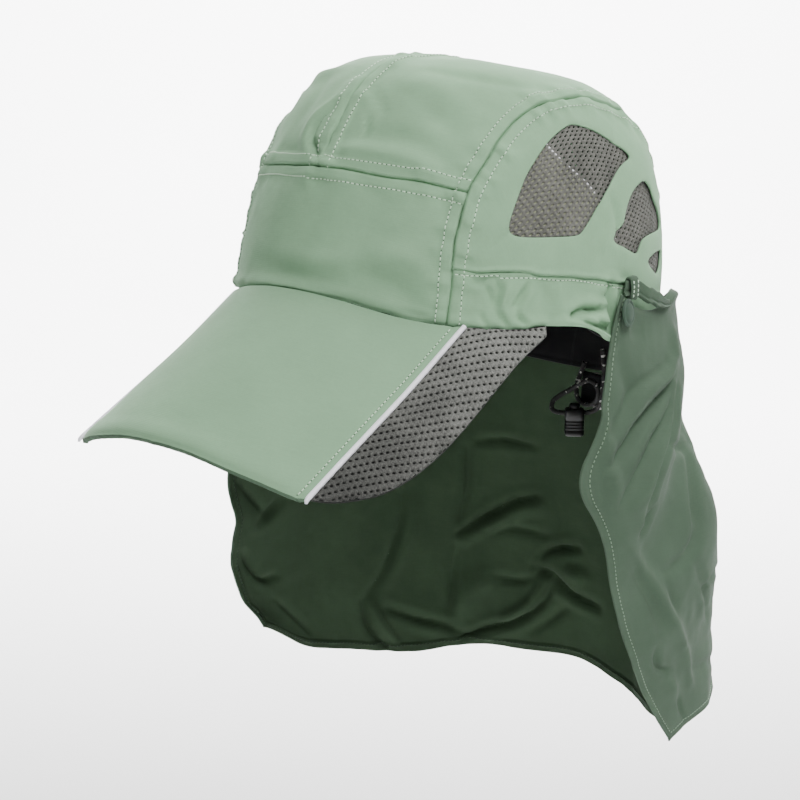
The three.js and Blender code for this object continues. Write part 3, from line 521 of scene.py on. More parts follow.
ARC_LEN = _arc_table()


def disc2(p, psi):
    r = np.interp(psi, ARC_PSI, ARC_LEN)
    return np.stack([r * np.sin(np.radians(p)), -r * np.cos(np.radians(p))], -1)


def polar2(q):
    r = np.hypot(q[..., 0], q[..., 1])
    return np.degrees(np.arctan2(q[..., 0], -q[..., 1])), np.interp(r, ARC_LEN[::-1], ARC_PSI[::-1])


def centre2(b):
    """Chart point of the centre seam at chart height b."""
    b = np.asarray(b, float)
    a = np.full(b.shape, SEAM_X)
    for _ in range(4):
        p, psi = polar2(np.stack([a, b], -1))
        x = crown_psi(p, psi)[..., 0]
        a = a * np.clip(SEAM_X / np.where(np.abs(x) < 0.3, -0.3, x), 0.3, 3)
    return np.stack([a, b], -1)


B0 = float(disc2(0.0, front_psi(0.0))[1])
B1 = float(disc2(180.0, band_psi(180.0))[1])


def top_patch2(sign):
    """Top panel in the arc-length chart, u from the centre seam to the side seam, v from front to back."""
    c0, c1 = polar2(centre2(B0))[0], polar2(centre2(B1))[0]

    def seam(t):
        p, s = polar(side_seam(lerp(FRONT_MEET, 1, np.asarray(t, float))))
        return disc2(p, s) * np.array([sign, 1.0])
    f0, f1 = float(c0), sign * MEET_PHI
    b0, b1 = float(c1), sign * SIDE_SEAM[-1][0]
    if sign > 0 and b0 < 0:
        b0 += 360
    if sign < 0 and b0 > 0:
        b0 -= 360
    front = lambda u: disc2(lerp(f0, f1, np.asarray(u, float)), front_psi(lerp(f0, f1, np.asarray(u, float))))
    back = lambda u: disc2(lerp(b0, b1, np.asarray(u, float)), band_psi(wrap(lerp(b0, b1, np.asarray(u, float)))))
    return coons(front, back, lambda v: centre2(lerp(B0, B1, np.asarray(v, float))), seam)


def crown_disc2(q):
    return crown_psi(*polar2(q))


class Seam:
    """A line sewn on the crown, with its arc length, direction and the surface normal along it."""

    def __init__(self, pts, kind, w=4.8):
        self.kind, self.w = kind, w
        d = np.concatenate([[0], np.cumsum(np.linalg.norm(np.diff(pts, axis=0), axis=1))])
        s = np.arange(0, d[-1], 0.5)
        self.P = np.stack([np.interp(s, d, pts[:, k]) for k in range(3)], -1)
        self.s = s
        self.T = unit(np.gradient(self.P, axis=0))
        self.N = crown_normal(self.P)
        self.B = unit(np.cross(self.N, self.T))


def crown_normal(P):
    """Outward direction at points near the crown, from the shape's own gradient."""
    e = 0.05
    g = np.stack([crown_value(P + np.eye(3)[k] * e) - crown_value(P - np.eye(3)[k] * e) for k in range(3)], -1)
    return unit(g)


def crown_value(P):
    """Less than 1 inside the crown, 1 on its surface."""
    s, c = math.sin(PITCH), math.cos(PITCH)
    y, z = P[..., 1], P[..., 2] - CZ
    y0, h = y * c - z * s, y * s + z * c
    y0 = y0 - CY
    p = np.degrees(np.arctan2(P[..., 0], -y0))
    r = np.hypot(P[..., 0], y0)
    return (r / rho(p)) ** EXP_N + np.maximum(h / CROWN_H, 0) ** m_at(p)


_ts = np.linspace(0, 1, 700)
_side = crown_disc(side_seam(_ts))
_hl = np.linspace(float(table(RIM, 41.0)), float(h_from_psi(SIDE_SEAM[0][0], SIDE_SEAM[0][1])), 40)[:-1]
_low = crown_h(seam_phi_at_h(_hl), _hl)
_sideL = np.vstack([_low, _side])
_fp = np.linspace(-MEET_PHI, MEET_PHI, 400)
_front = crown_h(_fp, front_h(_fp))
_centre = crown_disc2(centre2(np.linspace(B0, B1, 500)))
_bp = np.linspace(41, 319, 900)
_band = crown_h(wrap(_bp), table(BAND_TOP, wrap(_bp)))
SEAMS = {'front': Seam(_front, 'flat'), 'centre': Seam(_centre, 'flat', 5.3), 'side_left': Seam(_sideL, 'flat'),
         'side_right': Seam(_sideL * np.array([-1, 1, 1]), 'flat'), 'band': Seam(_band, 'edge', 1.7)}


def nearest(P, seam, chunk=4000):
    """For each point: distance to the seam, side (+1 or -1), arc length."""
    d, k = np.empty(len(P)), np.empty(len(P), int)
    Q = seam.P.astype(np.float32)
    for a in range(0, len(P), chunk):
        X = P[a:a + chunk].astype(np.float32)
        D = (X * X).sum(1)[:, None] + (Q * Q).sum(1)[None] - 2 * X @ Q.T
        k[a:a + chunk] = D.argmin(1)
    R = P - seam.P[k]
    side = np.sum(R * seam.B[k], -1)
    along = np.sum(R * seam.T[k], -1)
    d = np.sqrt(np.maximum((R * R).sum(1) - np.where((k > 0) & (k < len(Q) - 1), along ** 2, 0), 0))
    return d, np.sign(side), seam.s[k] + along


def seam_height(P, only=None):
    """How far the seams, their allowances and the puckers beside them lift or sink the cloth, and how far they wander."""
    h = np.zeros(len(P))
    drift = np.zeros((len(P), 3))
    for q, (name, seam) in enumerate(SEAMS.items()):
        d, side, s = nearest(P, seam)
        line = np.stack([s, 0 * s, 0 * s], -1)
        k = np.clip((s / 0.5).astype(int), 0, len(seam.P) - 1)
        ends = smooth(0, 14, s) * smooth(0, 14, seam.s[-1] - s)
        drift += seam.B[k] * ((0.75 * noise(line, 17, 50 + q) + 0.3 * noise(line, 7, 60 + q)) * ends * np.exp(-(d / 9.0) ** 2))[:, None]
        if seam.kind == 'flat':
            w = seam.w
            lift = 0.62 * (1 - smooth(w - 0.1, w + 1.1, d)) * smooth(0.1, 0.9, d)
            if name == 'front':
                lift = lift * np.where(side > 0, 1.25, 0.6)
            line_depth = 0.2 if name == 'centre' else 0.75
            h += lift - line_depth * np.exp(-(d / 0.42) ** 2) - 0.32 * np.exp(-((d - w) / 0.5) ** 2)
            near = np.exp(-((d - w * 0.9) / 4.0) ** 2)
            pucker = near * (1.6 * noise(line + side[:, None] * 40, 4.2, 3 + q) + 0.8 * noise(line + side[:, None] * 9, 9.0, 9 + q))
            h += np.clip(pucker, -0.32, 0.75)
        else:
            up = side * np.where(seam.B[0, 2] > 0, 1, -1)
            above = up > 0
            h += np.where(above, 0.75 * np.exp(-((d - 1.0) / 0.95) ** 2), 0.0)
            h -= 0.85 * np.exp(-(d / 0.5) ** 2) + np.where(above, 0, 0.4 * np.exp(-((d - seam.w) / 0.55) ** 2))
            near = np.where(above, 0.5 * np.exp(-(d / 3.5) ** 2), np.exp(-((d - 2.2) / 4.5) ** 2))
            h += near * (0.42 * noise(line + 3, 3.6, 21) + 0.30 * noise(line + 7, 8.0, 22))
    return h, drift


# creases on the crown: azimuth and rise angle of points along each, width and
# height in mm, and how sharp it is (1 sharp, 0 soft)
CREASES = [
    dict(pts=[(-7, 50), (-10.5, 44), (-9.5, 39), (-3.5, 34.6)], w=1.3, a=-1.5, sharp=1),
    dict(pts=[(-9, 50), (-13.5, 43.5), (-13, 38.5), (-7, 34)], w=3.4, a=1.3, sharp=0),
    dict(pts=[(2, 37.5), (12, 37), (22, 35.5), (32, 31.5)], w=3.8, a=1.5, sharp=0),
    dict(pts=[(3, 41), (13, 41.5), (24, 40), (34, 35)], w=3.5, a=-0.9, sharp=0),
    dict(pts=[(7.5, 47), (9.5, 43.5), (10, 41)], w=1.0, a=-0.8, sharp=1),
    dict(pts=[(4, 56), (11, 51), (13, 48)], w=1.3, a=-0.6, sharp=1),
    dict(pts=[(-4, 52), (-1, 49)], w=0.9, a=-0.7, sharp=1),
    dict(pts=[(-3.5, 48.5), (-0.5, 45.5)], w=0.9, a=-0.8, sharp=1),
    dict(pts=[(-3.5, 45), (-0.5, 42)], w=0.9, a=-0.8, sharp=1),
    dict(pts=[(20, 66), (42, 62), (60, 60)], w=2.6, a=-0.7, sharp=0),
    dict(pts=[(14, 60), (30, 55), (41, 48)], w=5, a=0.9, sharp=0),
    dict(pts=[(25, 50), (36, 42)], w=4, a=-0.8, sharp=0),
    dict(pts=[(-30, 62), (-22, 50), (-22, 40)], w=5, a=-0.9, sharp=0),
    dict(pts=[(-40, 50), (-34, 40)], w=5, a=0.9, sharp=0),
    dict(pts=[(-50, 57), (-38, 58), (-26, 63)], w=4.5, a=1.7, sharp=0),
    dict(pts=[(-54, 43), (-36, 44)], w=5, a=-1.3, sharp=0),
    # side panel
    dict(pts=[(87, 24), (90, 19), (91, 14.5)], w=1.6, a=-0.9, sharp=1),
    dict(pts=[(83.5, 23), (85, 17), (84, 14)], w=2.6, a=0.9, sharp=0),
    dict(pts=[(54, 17), (50, 13.5)], w=2.5, a=-0.7, sharp=0),
    dict(pts=[(92, 40), (98, 47), (104, 53)], w=2.6, a=-0.7, sharp=0),
    # band and the foot of the front panel, by azimuth and height
    dict(ph=[(49.0, 24.2), (51.0, 20.8), (52.0, 15.8)], w=1.5, a=-1.0, sharp=0),
    dict(ph=[(52.0, 26.2), (53.5, 22.5), (52.5, 16.5)], w=1.4, a=-1.1, sharp=0),
    dict(ph=[(55.5, 25.5), (54.5, 20.8), (54.5, 15.0)], w=1.6, a=1.0, sharp=0),
    dict(ph=[(61.0, 26.5), (59.5, 21.8), (58.0, 16.2)], w=1.3, a=-1.3, sharp=1),
    dict(ph=[(59.0, 13.5), (61.5, 10.8)], w=1.0, a=-1.4, sharp=1),
    dict(ph=[(54.0, 12.8), (56.5, 9.2)], w=1.1, a=-1.4, sharp=1),
    dict(ph=[(49.0, 11.8), (51.0, 8.2)], w=1.1, a=-0.8, sharp=1),
    dict(ph=[(75.0, 15.0), (77.5, 17.8), (81.0, 19.0), (87.0, 20.0)], w=1.4, a=-2.4, sharp=1),
    dict(ph=[(76.5, 15.2), (81.5, 13.5), (86.5, 12.2), (91.0, 10.5)], w=1.2, a=-2.4, sharp=1),
    dict(ph=[(76.0, 13.0), (83.5, 10.8), (91.0, 8.2)], w=1.8, a=1.8, sharp=0),
    dict(ph=[(78.0, 16.8), (82.5, 15.8), (88.0, 15.5)], w=2.2, a=1.6, sharp=0),
    dict(ph=[(89.0, 30.2), (89.5, 22.2), (91.5, 12.2)], w=1.6, a=-2.4, sharp=1),
    dict(ph=[(90.5, 29.8), (87.5, 25.5), (83.5, 23.0)], w=1.6, a=-1.0, sharp=1),
    dict(ph=[(80.5, 21.5), (86.0, 22.2)], w=2.0, a=0.9, sharp=0),
    dict(ph=[(46.0, 25.5), (47.5, 25.2), (51.0, 26.8)], w=1.1, a=-1.0, sharp=1),
    dict(ph=[(63.5, 29.0), (65.0, 25.2), (65.0, 20.0)], w=3.0, a=-0.8, sharp=0),
    dict(ph=[(70.5, 27.5), (70.5, 21.5), (72.0, 17.0)], w=3.2, a=0.8, sharp=0),
    dict(ph=[(67.0, 14.8), (70.0, 12.2)], w=2.0, a=-0.7, sharp=0),
    dict(ph=[(-19.0, 20.5), (-2.0, 16.2), (9.0, 18.2)], w=5, a=-0.9, sharp=0),
    dict(ph=[(-5.0, 24.8), (9.5, 24.2), (21.0, 28.2)], w=5, a=0.9, sharp=0),
    dict(ph=[(-21.5, 9.2), (-3.0, 12.0), (10.0, 10.5)], w=2.5, a=1.0, sharp=0),
    dict(ph=[(18.0, 20.8), (27.5, 17.8), (34.5, 10.8)], w=4.5, a=-1.0, sharp=0),
    dict(ph=[(20.5, 30.8), (31.5, 29.0), (36.5, 24.8)], w=4.5, a=0.9, sharp=0),
    dict(ph=[(29.0, 9.5), (35.5, 8.5)], w=2.0, a=-0.7, sharp=0),
]


def polyline_dist(P, pts, step=0.7):
    d = np.concatenate([[0], np.cumsum(np.linalg.norm(np.diff(pts, axis=0), axis=1))])
    s = np.arange(0, d[-1] + step, step)
    Q = np.stack([np.interp(s, d, pts[:, k]) for k in range(pts.shape[1])], -1)
    best, at = np.full(len(P), 1e9), np.zeros(len(P))
    for k in range(len(Q)):
        x = ((P - Q[k]) ** 2).sum(1)
        m = x < best
        best[m] = x[m]
        at[m] = s[k] / max(d[-1], 1e-6)
    return np.sqrt(best), np.clip(at, 0, 1)


def crease_height(P):
    h = np.zeros(len(P))
    for c in CREASES:
        q = np.array(c.get('pts') or [(a, float(psi_from_h(a, b))) for a, b in c['ph']], float)
        f = curve(q) if len(q) > 2 else (lambda x, q=q: q[0] + (q[1] - q[0]) * np.asarray(x)[..., None])
        g = f(np.linspace(0, 1, 24))
        for side in ((1, -1) if q[0][0] > 41 else (1,)):
            L = crown_psi(g[:, 0] * side, g[:, 1])
            lo, hi = L.min(0) - 16, L.max(0) + 16
            k = np.where(np.all((P > lo) & (P < hi), axis=1))[0]
            if not len(k):
                continue
            d, at = polyline_dist(P[k], L)
            taper = np.sin(np.pi * np.clip(0.08 + 0.84 * at, 0, 1)) ** 0.6
            prof = np.exp(-np.abs(d) / c['w']) if c['sharp'] else np.exp(-(d / c['w']) ** 2)
            if c['sharp']:
                prof = prof - 0.35 * np.exp(-((d - 2.2 * c['w']) / (1.4 * c['w'])) ** 2)
            h[k] += (1.7 if 'ph' in c else 1.7 if c['sharp'] else 1.2) * c['a'] * prof * taper
    return h


def cloth_noise(P, seed=0):
    return 0.55 * noise(P, 34, seed) + 0.26 * noise(P, 15, seed + 1) + 0.10 * noise(P, 6.5, seed + 2) + 0.03 * noise(P, 2.6, seed + 3)


def crown_cloth(P, extra=0.0, soft=1.0):
    """Points of the crown's ideal surface moved to where the cloth lies."""
    N = crown_normal(P)
    h, drift = seam_height(P)
    return P + drift + N * (h + crease_height(P) + soft * cloth_noise(P) + extra)[:, None]


# --------------------------------------------------------------- materials --
def material(name):
    m = bpy.data.materials.new(name)
    m.use_nodes = True
    t = m.node_tree
    b = t.nodes['Principled BSDF']
    return m, t, b


def node(t, kind, **values):
    n = t.nodes.new(kind)
    for k, v in values.items():
        if hasattr(n, k) and k not in n.inputs:
            setattr(n, k, v)
        else:
            n.inputs[k].default_value = v
    return n


def ramp(t, fac, stops):
    r = t.nodes.new('ShaderNodeValToRGB')
    while len(r.color_ramp.elements) < len(stops):
        r.color_ramp.elements.new(0.5)
    for e, (p, c) in zip(r.color_ramp.elements, stops):
        e.position, e.color = p, (*c, 1)
    t.links.new(fac, r.inputs[0])
    return r.outputs[0]


def mix(t, fac, a, b, mode='MIX'):
    n = t.nodes.new('ShaderNodeMix')
    n.data_type, n.blend_type = 'RGBA', mode
    for sock, v in ((n.inputs[0], fac), (n.inputs[6], a), (n.inputs[7], b)):
        if hasattr(v, 'links'):
            t.links.new(v, sock)
        elif isinstance(v, tuple):
            sock.default_value = (*v, 1)
        else:
            sock.default_value = v
    return n.outputs[2]


def cloth_material(name, base, rough=0.78, weave=0.42, bump=0.22, spread=0.10, sheen=0.025, tone=None):
    """Plain-woven cloth: crossed threads by the piece's own millimetre UVs, uneven dye, fine crumple."""
    m, t, b = material(name)
    uv = node(t, 'ShaderNodeTexCoord')
    sc = node(t, 'ShaderNodeMapping')
    sc.inputs['Scale'].default_value = (1 / weave, 1 / weave, 1)
    t.links.new(uv.outputs['UV'], sc.inputs[0])
    check = node(t, 'ShaderNodeTexChecker', Scale=1.0)
    t.links.new(sc.outputs[0], check.inputs['Vector'])
    wx = node(t, 'ShaderNodeTexWave', bands_direction='X', Scale=0.16, Distortion=0.25)
    wy = node(t, 'ShaderNodeTexWave', bands_direction='Y', Scale=0.16, Distortion=0.25)
    for w in (wx, wy):
        t.links.new(sc.outputs[0], w.inputs['Vector'])
    thread = mix(t, check.outputs['Fac'], wx.outputs['Color'], wy.outputs['Color'])
    fine = node(t, 'ShaderNodeTexNoise', Scale=900.0, Detail=3.0, Roughness=0.6)
    blotch = node(t, 'ShaderNodeTexNoise', Scale=34.0, Detail=4.0, Roughness=0.55)
    slub = node(t, 'ShaderNodeTexNoise', Scale=1.0, Detail=2.0)
    sm = node(t, 'ShaderNodeMapping')
    sm.inputs['Scale'].default_value = (0.12, 2.2, 1)
    t.links.new(uv.outputs['UV'], sm.inputs[0])
    t.links.new(sm.outputs[0], slub.inputs['Vector'])
    for n in (fine, blotch):
        t.links.new(uv.outputs['Object'], n.inputs['Vector'])
    d = tuple(c * (1 - spread) for c in base)
    l = tuple(min(c * (1 + spread), 1) for c in base)
    col = ramp(t, blotch.outputs['Fac'], [(0.32, d), (0.68, l)])
    col = mix(t, 0.16, col, ramp(t, slub.outputs['Fac'], [(0.35, tuple(c * 0.86 for c in base)), (0.65, tuple(min(c * 1.12, 1) for c in base))]))
    col = mix(t, 0.10, col, ramp(t, fine.outputs['Fac'], [(0.3, tuple(c * 0.72 for c in base)), (0.7, tuple(min(c * 1.2, 1) for c in base))]))
    if tone:
        col = tone(t, uv, col)
    t.links.new(col, b.inputs['Base Color'])
    rr = node(t, 'ShaderNodeMapRange')
    rr.inputs['To Min'].default_value, rr.inputs['To Max'].default_value = rough - 0.07, rough + 0.07
    t.links.new(blotch.outputs['Fac'], rr.inputs['Value'])
    t.links.new(rr.outputs[0], b.inputs['Roughness'])
    b1 = node(t, 'ShaderNodeBump', Strength=bump, Distance=0.00008)
    t.links.new(thread, b1.inputs['Height'])
    crumple = node(t, 'ShaderNodeTexNoise', Scale=210.0, Detail=3.0, Roughness=0.5)
    t.links.new(uv.outputs['Object'], crumple.inputs['Vector'])
    b2 = node(t, 'ShaderNodeBump', Strength=0.22, Distance=0.0004)
    t.links.new(crumple.outputs['Fac'], b2.inputs['Height'])
    t.links.new(b1.outputs[0], b2.inputs['Normal'])
    t.links.new(b2.outputs[0], b.inputs['Normal'])
    b.inputs['Sheen Weight'].default_value = sheen
    b.inputs['Sheen Roughness'].default_value = 0.5
    b.inputs['Specular IOR Level'].default_value = 0.05
    return m


def yarn_material(name, base, light, scale=1400.0, rough=0.85, spec=0.25, painted_shade_y=None):
    m, t, b = material(name)
    tc = node(t, 'ShaderNodeTexCoord')
    n = node(t, 'ShaderNodeTexNoise', Scale=scale, Detail=3.0, Roughness=0.65)
    g = node(t, 'ShaderNodeTexNoise', Scale=60.0, Detail=2.0)
    for k in (n, g):
        t.links.new(tc.outputs['Object'], k.inputs['Vector'])
    col = ramp(t, n.outputs['Fac'], [(0.3, base), (0.7, light)])
    col = mix(t, 0.25, col, ramp(t, g.outputs['Fac'], [(0.35, tuple(c * 0.7 for c in base)), (0.65, light)]))
    # painted shade: the colour is darkened along Y, towards the peak's front tip
    if painted_shade_y:
        xyz = node(t, 'ShaderNodeSeparateXYZ')
        t.links.new(tc.outputs['Object'], xyz.inputs[0])
        r = node(t, 'ShaderNodeMapRange')
        for k, v in zip(('From Min', 'From Max', 'To Min', 'To Max'), painted_shade_y):
            r.inputs[k].default_value = v
        t.links.new(xyz.outputs['Y'], r.inputs['Value'])
        painted_shade_tint = node(t, 'ShaderNodeCombineColor')
        for k in range(3):
            t.links.new(r.outputs[0], painted_shade_tint.inputs[k])
        col = mix(t, 1.0, col, painted_shade_tint.outputs[0], 'MULTIPLY')
    t.links.new(col, b.inputs['Base Color'])
    rr = node(t, 'ShaderNodeMapRange')
    rr.inputs['To Min'].default_value, rr.inputs['To Max'].default_value = rough - 0.1, rough + 0.05
    t.links.new(n.outputs['Fac'], rr.inputs['Value'])
    t.links.new(rr.outputs[0], b.inputs['Roughness'])
    bp = node(t, 'ShaderNodeBump', Strength=0.5, Distance=0.00015)
    t.links.new(n.outputs['Fac'], bp.inputs['Height'])
    t.links.new(bp.outputs[0], b.inputs['Normal'])
    b.inputs['Specular IOR Level'].default_value = spec
    return m


def plastic_material(name, base, rough=0.42, coat=0.0):
    m, t, b = material(name)
    tc = node(t, 'ShaderNodeTexCoord')
    n = node(t, 'ShaderNodeTexNoise', Scale=420.0, Detail=4.0, Roughness=0.6)
    g = node(t, 'ShaderNodeTexNoise', Scale=90.0, Detail=2.0)
    for k in (n, g):
        t.links.new(tc.outputs['Object'], k.inputs['Vector'])
    t.links.new(ramp(t, g.outputs['Fac'], [(0.3, tuple(c * 0.85 for c in base)), (0.7, tuple(c * 1.2 for c in base))]), b.inputs['Base Color'])
    rr = node(t, 'ShaderNodeMapRange')
    rr.inputs['To Min'].default_value, rr.inputs['To Max'].default_value = rough - 0.08, rough + 0.1
    t.links.new(n.outputs['Fac'], rr.inputs['Value'])
    t.links.new(rr.outputs[0], b.inputs['Roughness'])
    bp = node(t, 'ShaderNodeBump', Strength=0.12, Distance=0.0001)
    t.links.new(n.outputs['Fac'], bp.inputs['Height'])
    t.links.new(bp.outputs[0], b.inputs['Normal'])
    if coat:
        b.inputs['Coat Weight'].default_value = coat
    return m


SAGE = (0.202, 0.346, 0.211)
M_CROWN = cloth_material('sage_cloth', SAGE)
# inner faces of the crown pieces: the sage cloth painted much darker, as painted shade
M_CROWN_IN_SHADE = cloth_material('sage_cloth_inner_painted_shade', (0.040, 0.060, 0.040), sheen=0.02)
M_BRIM = cloth_material('peak_cloth', (0.185, 0.316, 0.193), spread=0.05)
# underside and rim walls of the peak: the peak cloth painted darker, as painted shade, so the front edge reads as a
# dark line
M_BRIM_EDGE_SHADE = cloth_material('peak_edge_painted_shade', (0.075, 0.120, 0.079), sheen=0.01)
M_FLAP = cloth_material('flap_cloth', (0.059, 0.090, 0.061), weave=0.38, spread=0.09, sheen=0.03)
# inner face of the neck flap: the flap cloth painted much darker, as painted shade
M_FLAP_IN_SHADE = cloth_material('flap_cloth_inner_painted_shade', (0.031, 0.051, 0.029), weave=0.38, spread=0.10, sheen=0.02)
M_MESH = yarn_material('side_mesh_yarn', (0.044, 0.045, 0.040), (0.155, 0.155, 0.138))
# the peak mesh yarn is painted darker towards the peak's front tip, as painted shade
M_SPACER = yarn_material('peak_mesh_yarn', (0.060, 0.062, 0.057), (0.31, 0.315, 0.29), scale=1500.0, painted_shade_y=(-0.145, -0.04, 0.26, 0.80))
# near-black sheet under the peak mesh: partly its back layer, partly painted shade in the holes
M_SPACER_GROUND_SHADE = yarn_material('peak_mesh_ground_and_shade', (0.012, 0.013, 0.012), (0.026, 0.028, 0.025), scale=900.0)
M_PIPE = yarn_material('pale_piping', (0.72, 0.71, 0.76), (0.84, 0.83, 0.87), scale=700.0, rough=0.55, spec=0.5)
M_TAPE = cloth_material('black_tape', (0.010, 0.010, 0.011), rough=0.85, weave=0.6, bump=0.5, spread=0.2, sheen=0.1)
M_THREAD_FLAP = yarn_material('flap_thread', (0.12, 0.19, 0.12), (0.22, 0.31, 0.21), scale=2600.0, rough=0.6)
# hem thread on the flap's inner face: the flap thread painted much darker, as painted shade
M_THREAD_IN_SHADE = yarn_material('flap_thread_inner_painted_shade', (0.012, 0.024, 0.012), (0.024, 0.042, 0.024), scale=2600.0, rough=0.7)
M_THREAD = yarn_material('sewing_thread', (0.44, 0.60, 0.43), (0.64, 0.80, 0.62), scale=2600.0, rough=0.6, spec=0.4)
# dark beads at the needle holes between stitches: painted shade in the holes
M_HOLE_SHADE = yarn_material('needle_hole_painted_shade', (0.028, 0.055, 0.028), (0.05, 0.085, 0.05), scale=900.0)
M_LINING = cloth_material('lining_cloth', (0.34, 0.36, 0.25), weave=0.5, spread=0.08)
M_SNAP = plastic_material('green_press_stud', (0.022, 0.046, 0.028), rough=0.78)
M_BLACK = plastic_material('black_moulding', (0.010, 0.010, 0.011), rough=0.38)
M_TAG = cloth_material('blank_tag', (0.74, 0.74, 0.72), weave=0.3, spread=0.04)


def cord_material():
    m, t, b = material('flecked_elastic_cord')
    tc = node(t, 'ShaderNodeTexCoord')
    n = node(t, 'ShaderNodeTexVoronoi', Scale=900.0)
    w = node(t, 'ShaderNodeTexNoise', Scale=1500.0, Detail=2.0)
    for k in (n, w):
        t.links.new(tc.outputs['Object'], k.inputs['Vector'])
    spot = ramp(t, n.outputs['Color'], [(0.0, (0.010, 0.010, 0.010)), (0.80, (0.014, 0.014, 0.014)), (0.86, (0.5, 0.5, 0.48))])
    t.links.new(spot, b.inputs['Base Color'])
    rr = node(t, 'ShaderNodeMapRange')
    rr.inputs['To Min'].default_value, rr.inputs['To Max'].default_value = 0.7, 0.95
    t.links.new(w.outputs['Fac'], rr.inputs['Value'])
    t.links.new(rr.outputs[0], b.inputs['Roughness'])
    bp = node(t, 'ShaderNodeBump', Strength=0.6, Distance=0.0002)
    t.links.new(n.outputs['Distance'], bp.inputs['Height'])
    t.links.new(bp.outputs[0], b.inputs['Normal'])
    return m


M_CORD = cord_material()

# ------------------------------------------------------------- the drawcord --
# the same route as the solid's, in metres
CORD_ROUTE = [
    (0.0126, 0.0762, -0.0265), (0.011, 0.0761, -0.0305), (0.0092, 0.076, -0.0352), (0.0079, 0.0762, -0.0398),
    (0.009, 0.0758, -0.0438), (0.0122, 0.0756, -0.0462), (0.0166, 0.0755, -0.046), (0.0202, 0.0754, -0.0436),
    (0.0216, 0.0751, -0.0394), (0.0204, 0.0744, -0.0354), (0.017, 0.0736, -0.034), (0.0124, 0.0728, -0.0362),
    (0.0074, 0.072, -0.0398), (0.0029, 0.0706, -0.0428), (0.0, 0.0684, -0.0462), (0.0012, 0.0668, -0.0494),
    (0.0046, 0.0684, -0.0506), (0.0096, 0.073, -0.0507), (0.0138, 0.0768, -0.0506), (0.0174, 0.078, -0.0492),
    (0.0204, 0.0771, -0.0464), (0.0226, 0.0762, -0.041), (0.024, 0.0757, -0.0345), (0.0244, 0.0754, -0.027), (0.0236, 0.075, -0.0185)]
CORD_D = 0.0023
LOCK = dict(x=9.6, y=73.0, z=-55.0, turn=math.radians(42.4), w=9.0, d=7.0, h=12.4)


def make_cord():
    route = curve(CORD_ROUTE)(np.linspace(0, 1, 90))
    cu = bpy.data.curves.new('drawcord_braid', 'CURVE')
    cu.dimensions = '3D'
    sp = cu.splines.new('POLY')
    sp.points.add(len(route) - 1)
    for p, q in zip(sp.points, route):
        p.co = (*q, 1)
    cu.bevel_depth, cu.bevel_resolution = CORD_D / 2, 4
    cu.use_fill_caps = True
    cu.materials.append(M_CORD)
    ob = bpy.data.objects.new('drawcord_braid', cu)
    bpy.context.collection.objects.link(ob)
    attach(ob, 'root')
    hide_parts('drawcord')
    length = float(np.linalg.norm(np.diff(route, axis=0), axis=1).sum())
    return ob, length


def loft(rings, close=True, cap=True):
    """Faces between rings of the same number of points."""
    n = len(rings[0])
    V = np.vstack(rings)
    F = []
    for k in range(len(rings) - 1):
        for i in range(n if close else n - 1):
            j = (i + 1) % n
            F.append((k * n + i, k * n + j, (k + 1) * n + j, (k + 1) * n + i))
    if cap:
        F.append(tuple(range(n))[::-1])
        F.append(tuple((len(rings) - 1) * n + i for i in range(n)))
    return V, F


def superellipse(a, b, n=40, e=4.0):
    t = np.linspace(0, 2 * np.pi, n, endpoint=False)
    c, s = np.cos(t), np.sin(t)
    return np.stack([a * np.sign(c) * np.abs(c) ** (2 / e), b * np.sign(s) * np.abs(s) ** (2 / e)], -1)


def make_lock():
    L = LOCK
    R = np.array([[math.cos(L['turn']), -math.sin(L['turn']), 0], [math.sin(L['turn']), math.cos(L['turn']), 0], [0, 0, 1]])
    at = np.array([L['x'], L['y'], L['z']])
    V, F = np.zeros((0, 3)), []

    def add(rows, e=5.0):
        nonlocal V, F
        rings = [np.c_[superellipse(a, b, 40, e), np.full(40, z)] for a, b, z in rows]
        v, f = loft(rings)
        F += [tuple(i + len(V) for i in q) for q in f]
        V = np.vstack([V, v @ R.T + at])
    w, d, h = L['w'] / 2, L['d'] / 2, L['h'] / 2
    rows = [(w - 0.9, d - 0.9, -h - 0.4), (w - 0.3, d - 0.3, -h - 0.1), (w, d, -h + 0.6)]
    for k in range(4):
        z = -h + 2.2 + k * 1.5
        rows += [(w, d, z), (w - 0.35, d - 0.35, z + 0.25), (w - 0.35, d - 0.35, z + 0.6), (w, d, z + 0.85)]
    rows += [(w, d, h - 0.7), (w - 0.3, d - 0.3, h + 0.1), (w - 1.0, d - 1.0, h + 0.45)]
    add(rows)
    add([(2.5, 2.5, h), (2.55, 2.55, h + 1.8), (2.3, 2.3, h + 2.4), (1.6, 1.6, h + 2.65)], 2.0)
    ob = obj_from('cord_lock_body', V, F, M_BLACK, replaces=('cord_lock',))
    return ob


cord_piece, cord_length = make_cord()
lock_piece = make_lock()

# ---------------------------------------------------------------- the crown --
TOP_AT = (0, 0, 20)
CLOTH_T = 0.9
bvh_parts = []          # outer faces that stitches may lie on


def keep_for_stitches(V, F):
    base = sum(len(v) for v, _ in bvh_parts)
    bvh_parts.append((V, [tuple(int(i) + base for i in f) for f in (F.tolist() if hasattr(F, 'tolist') else F)]))


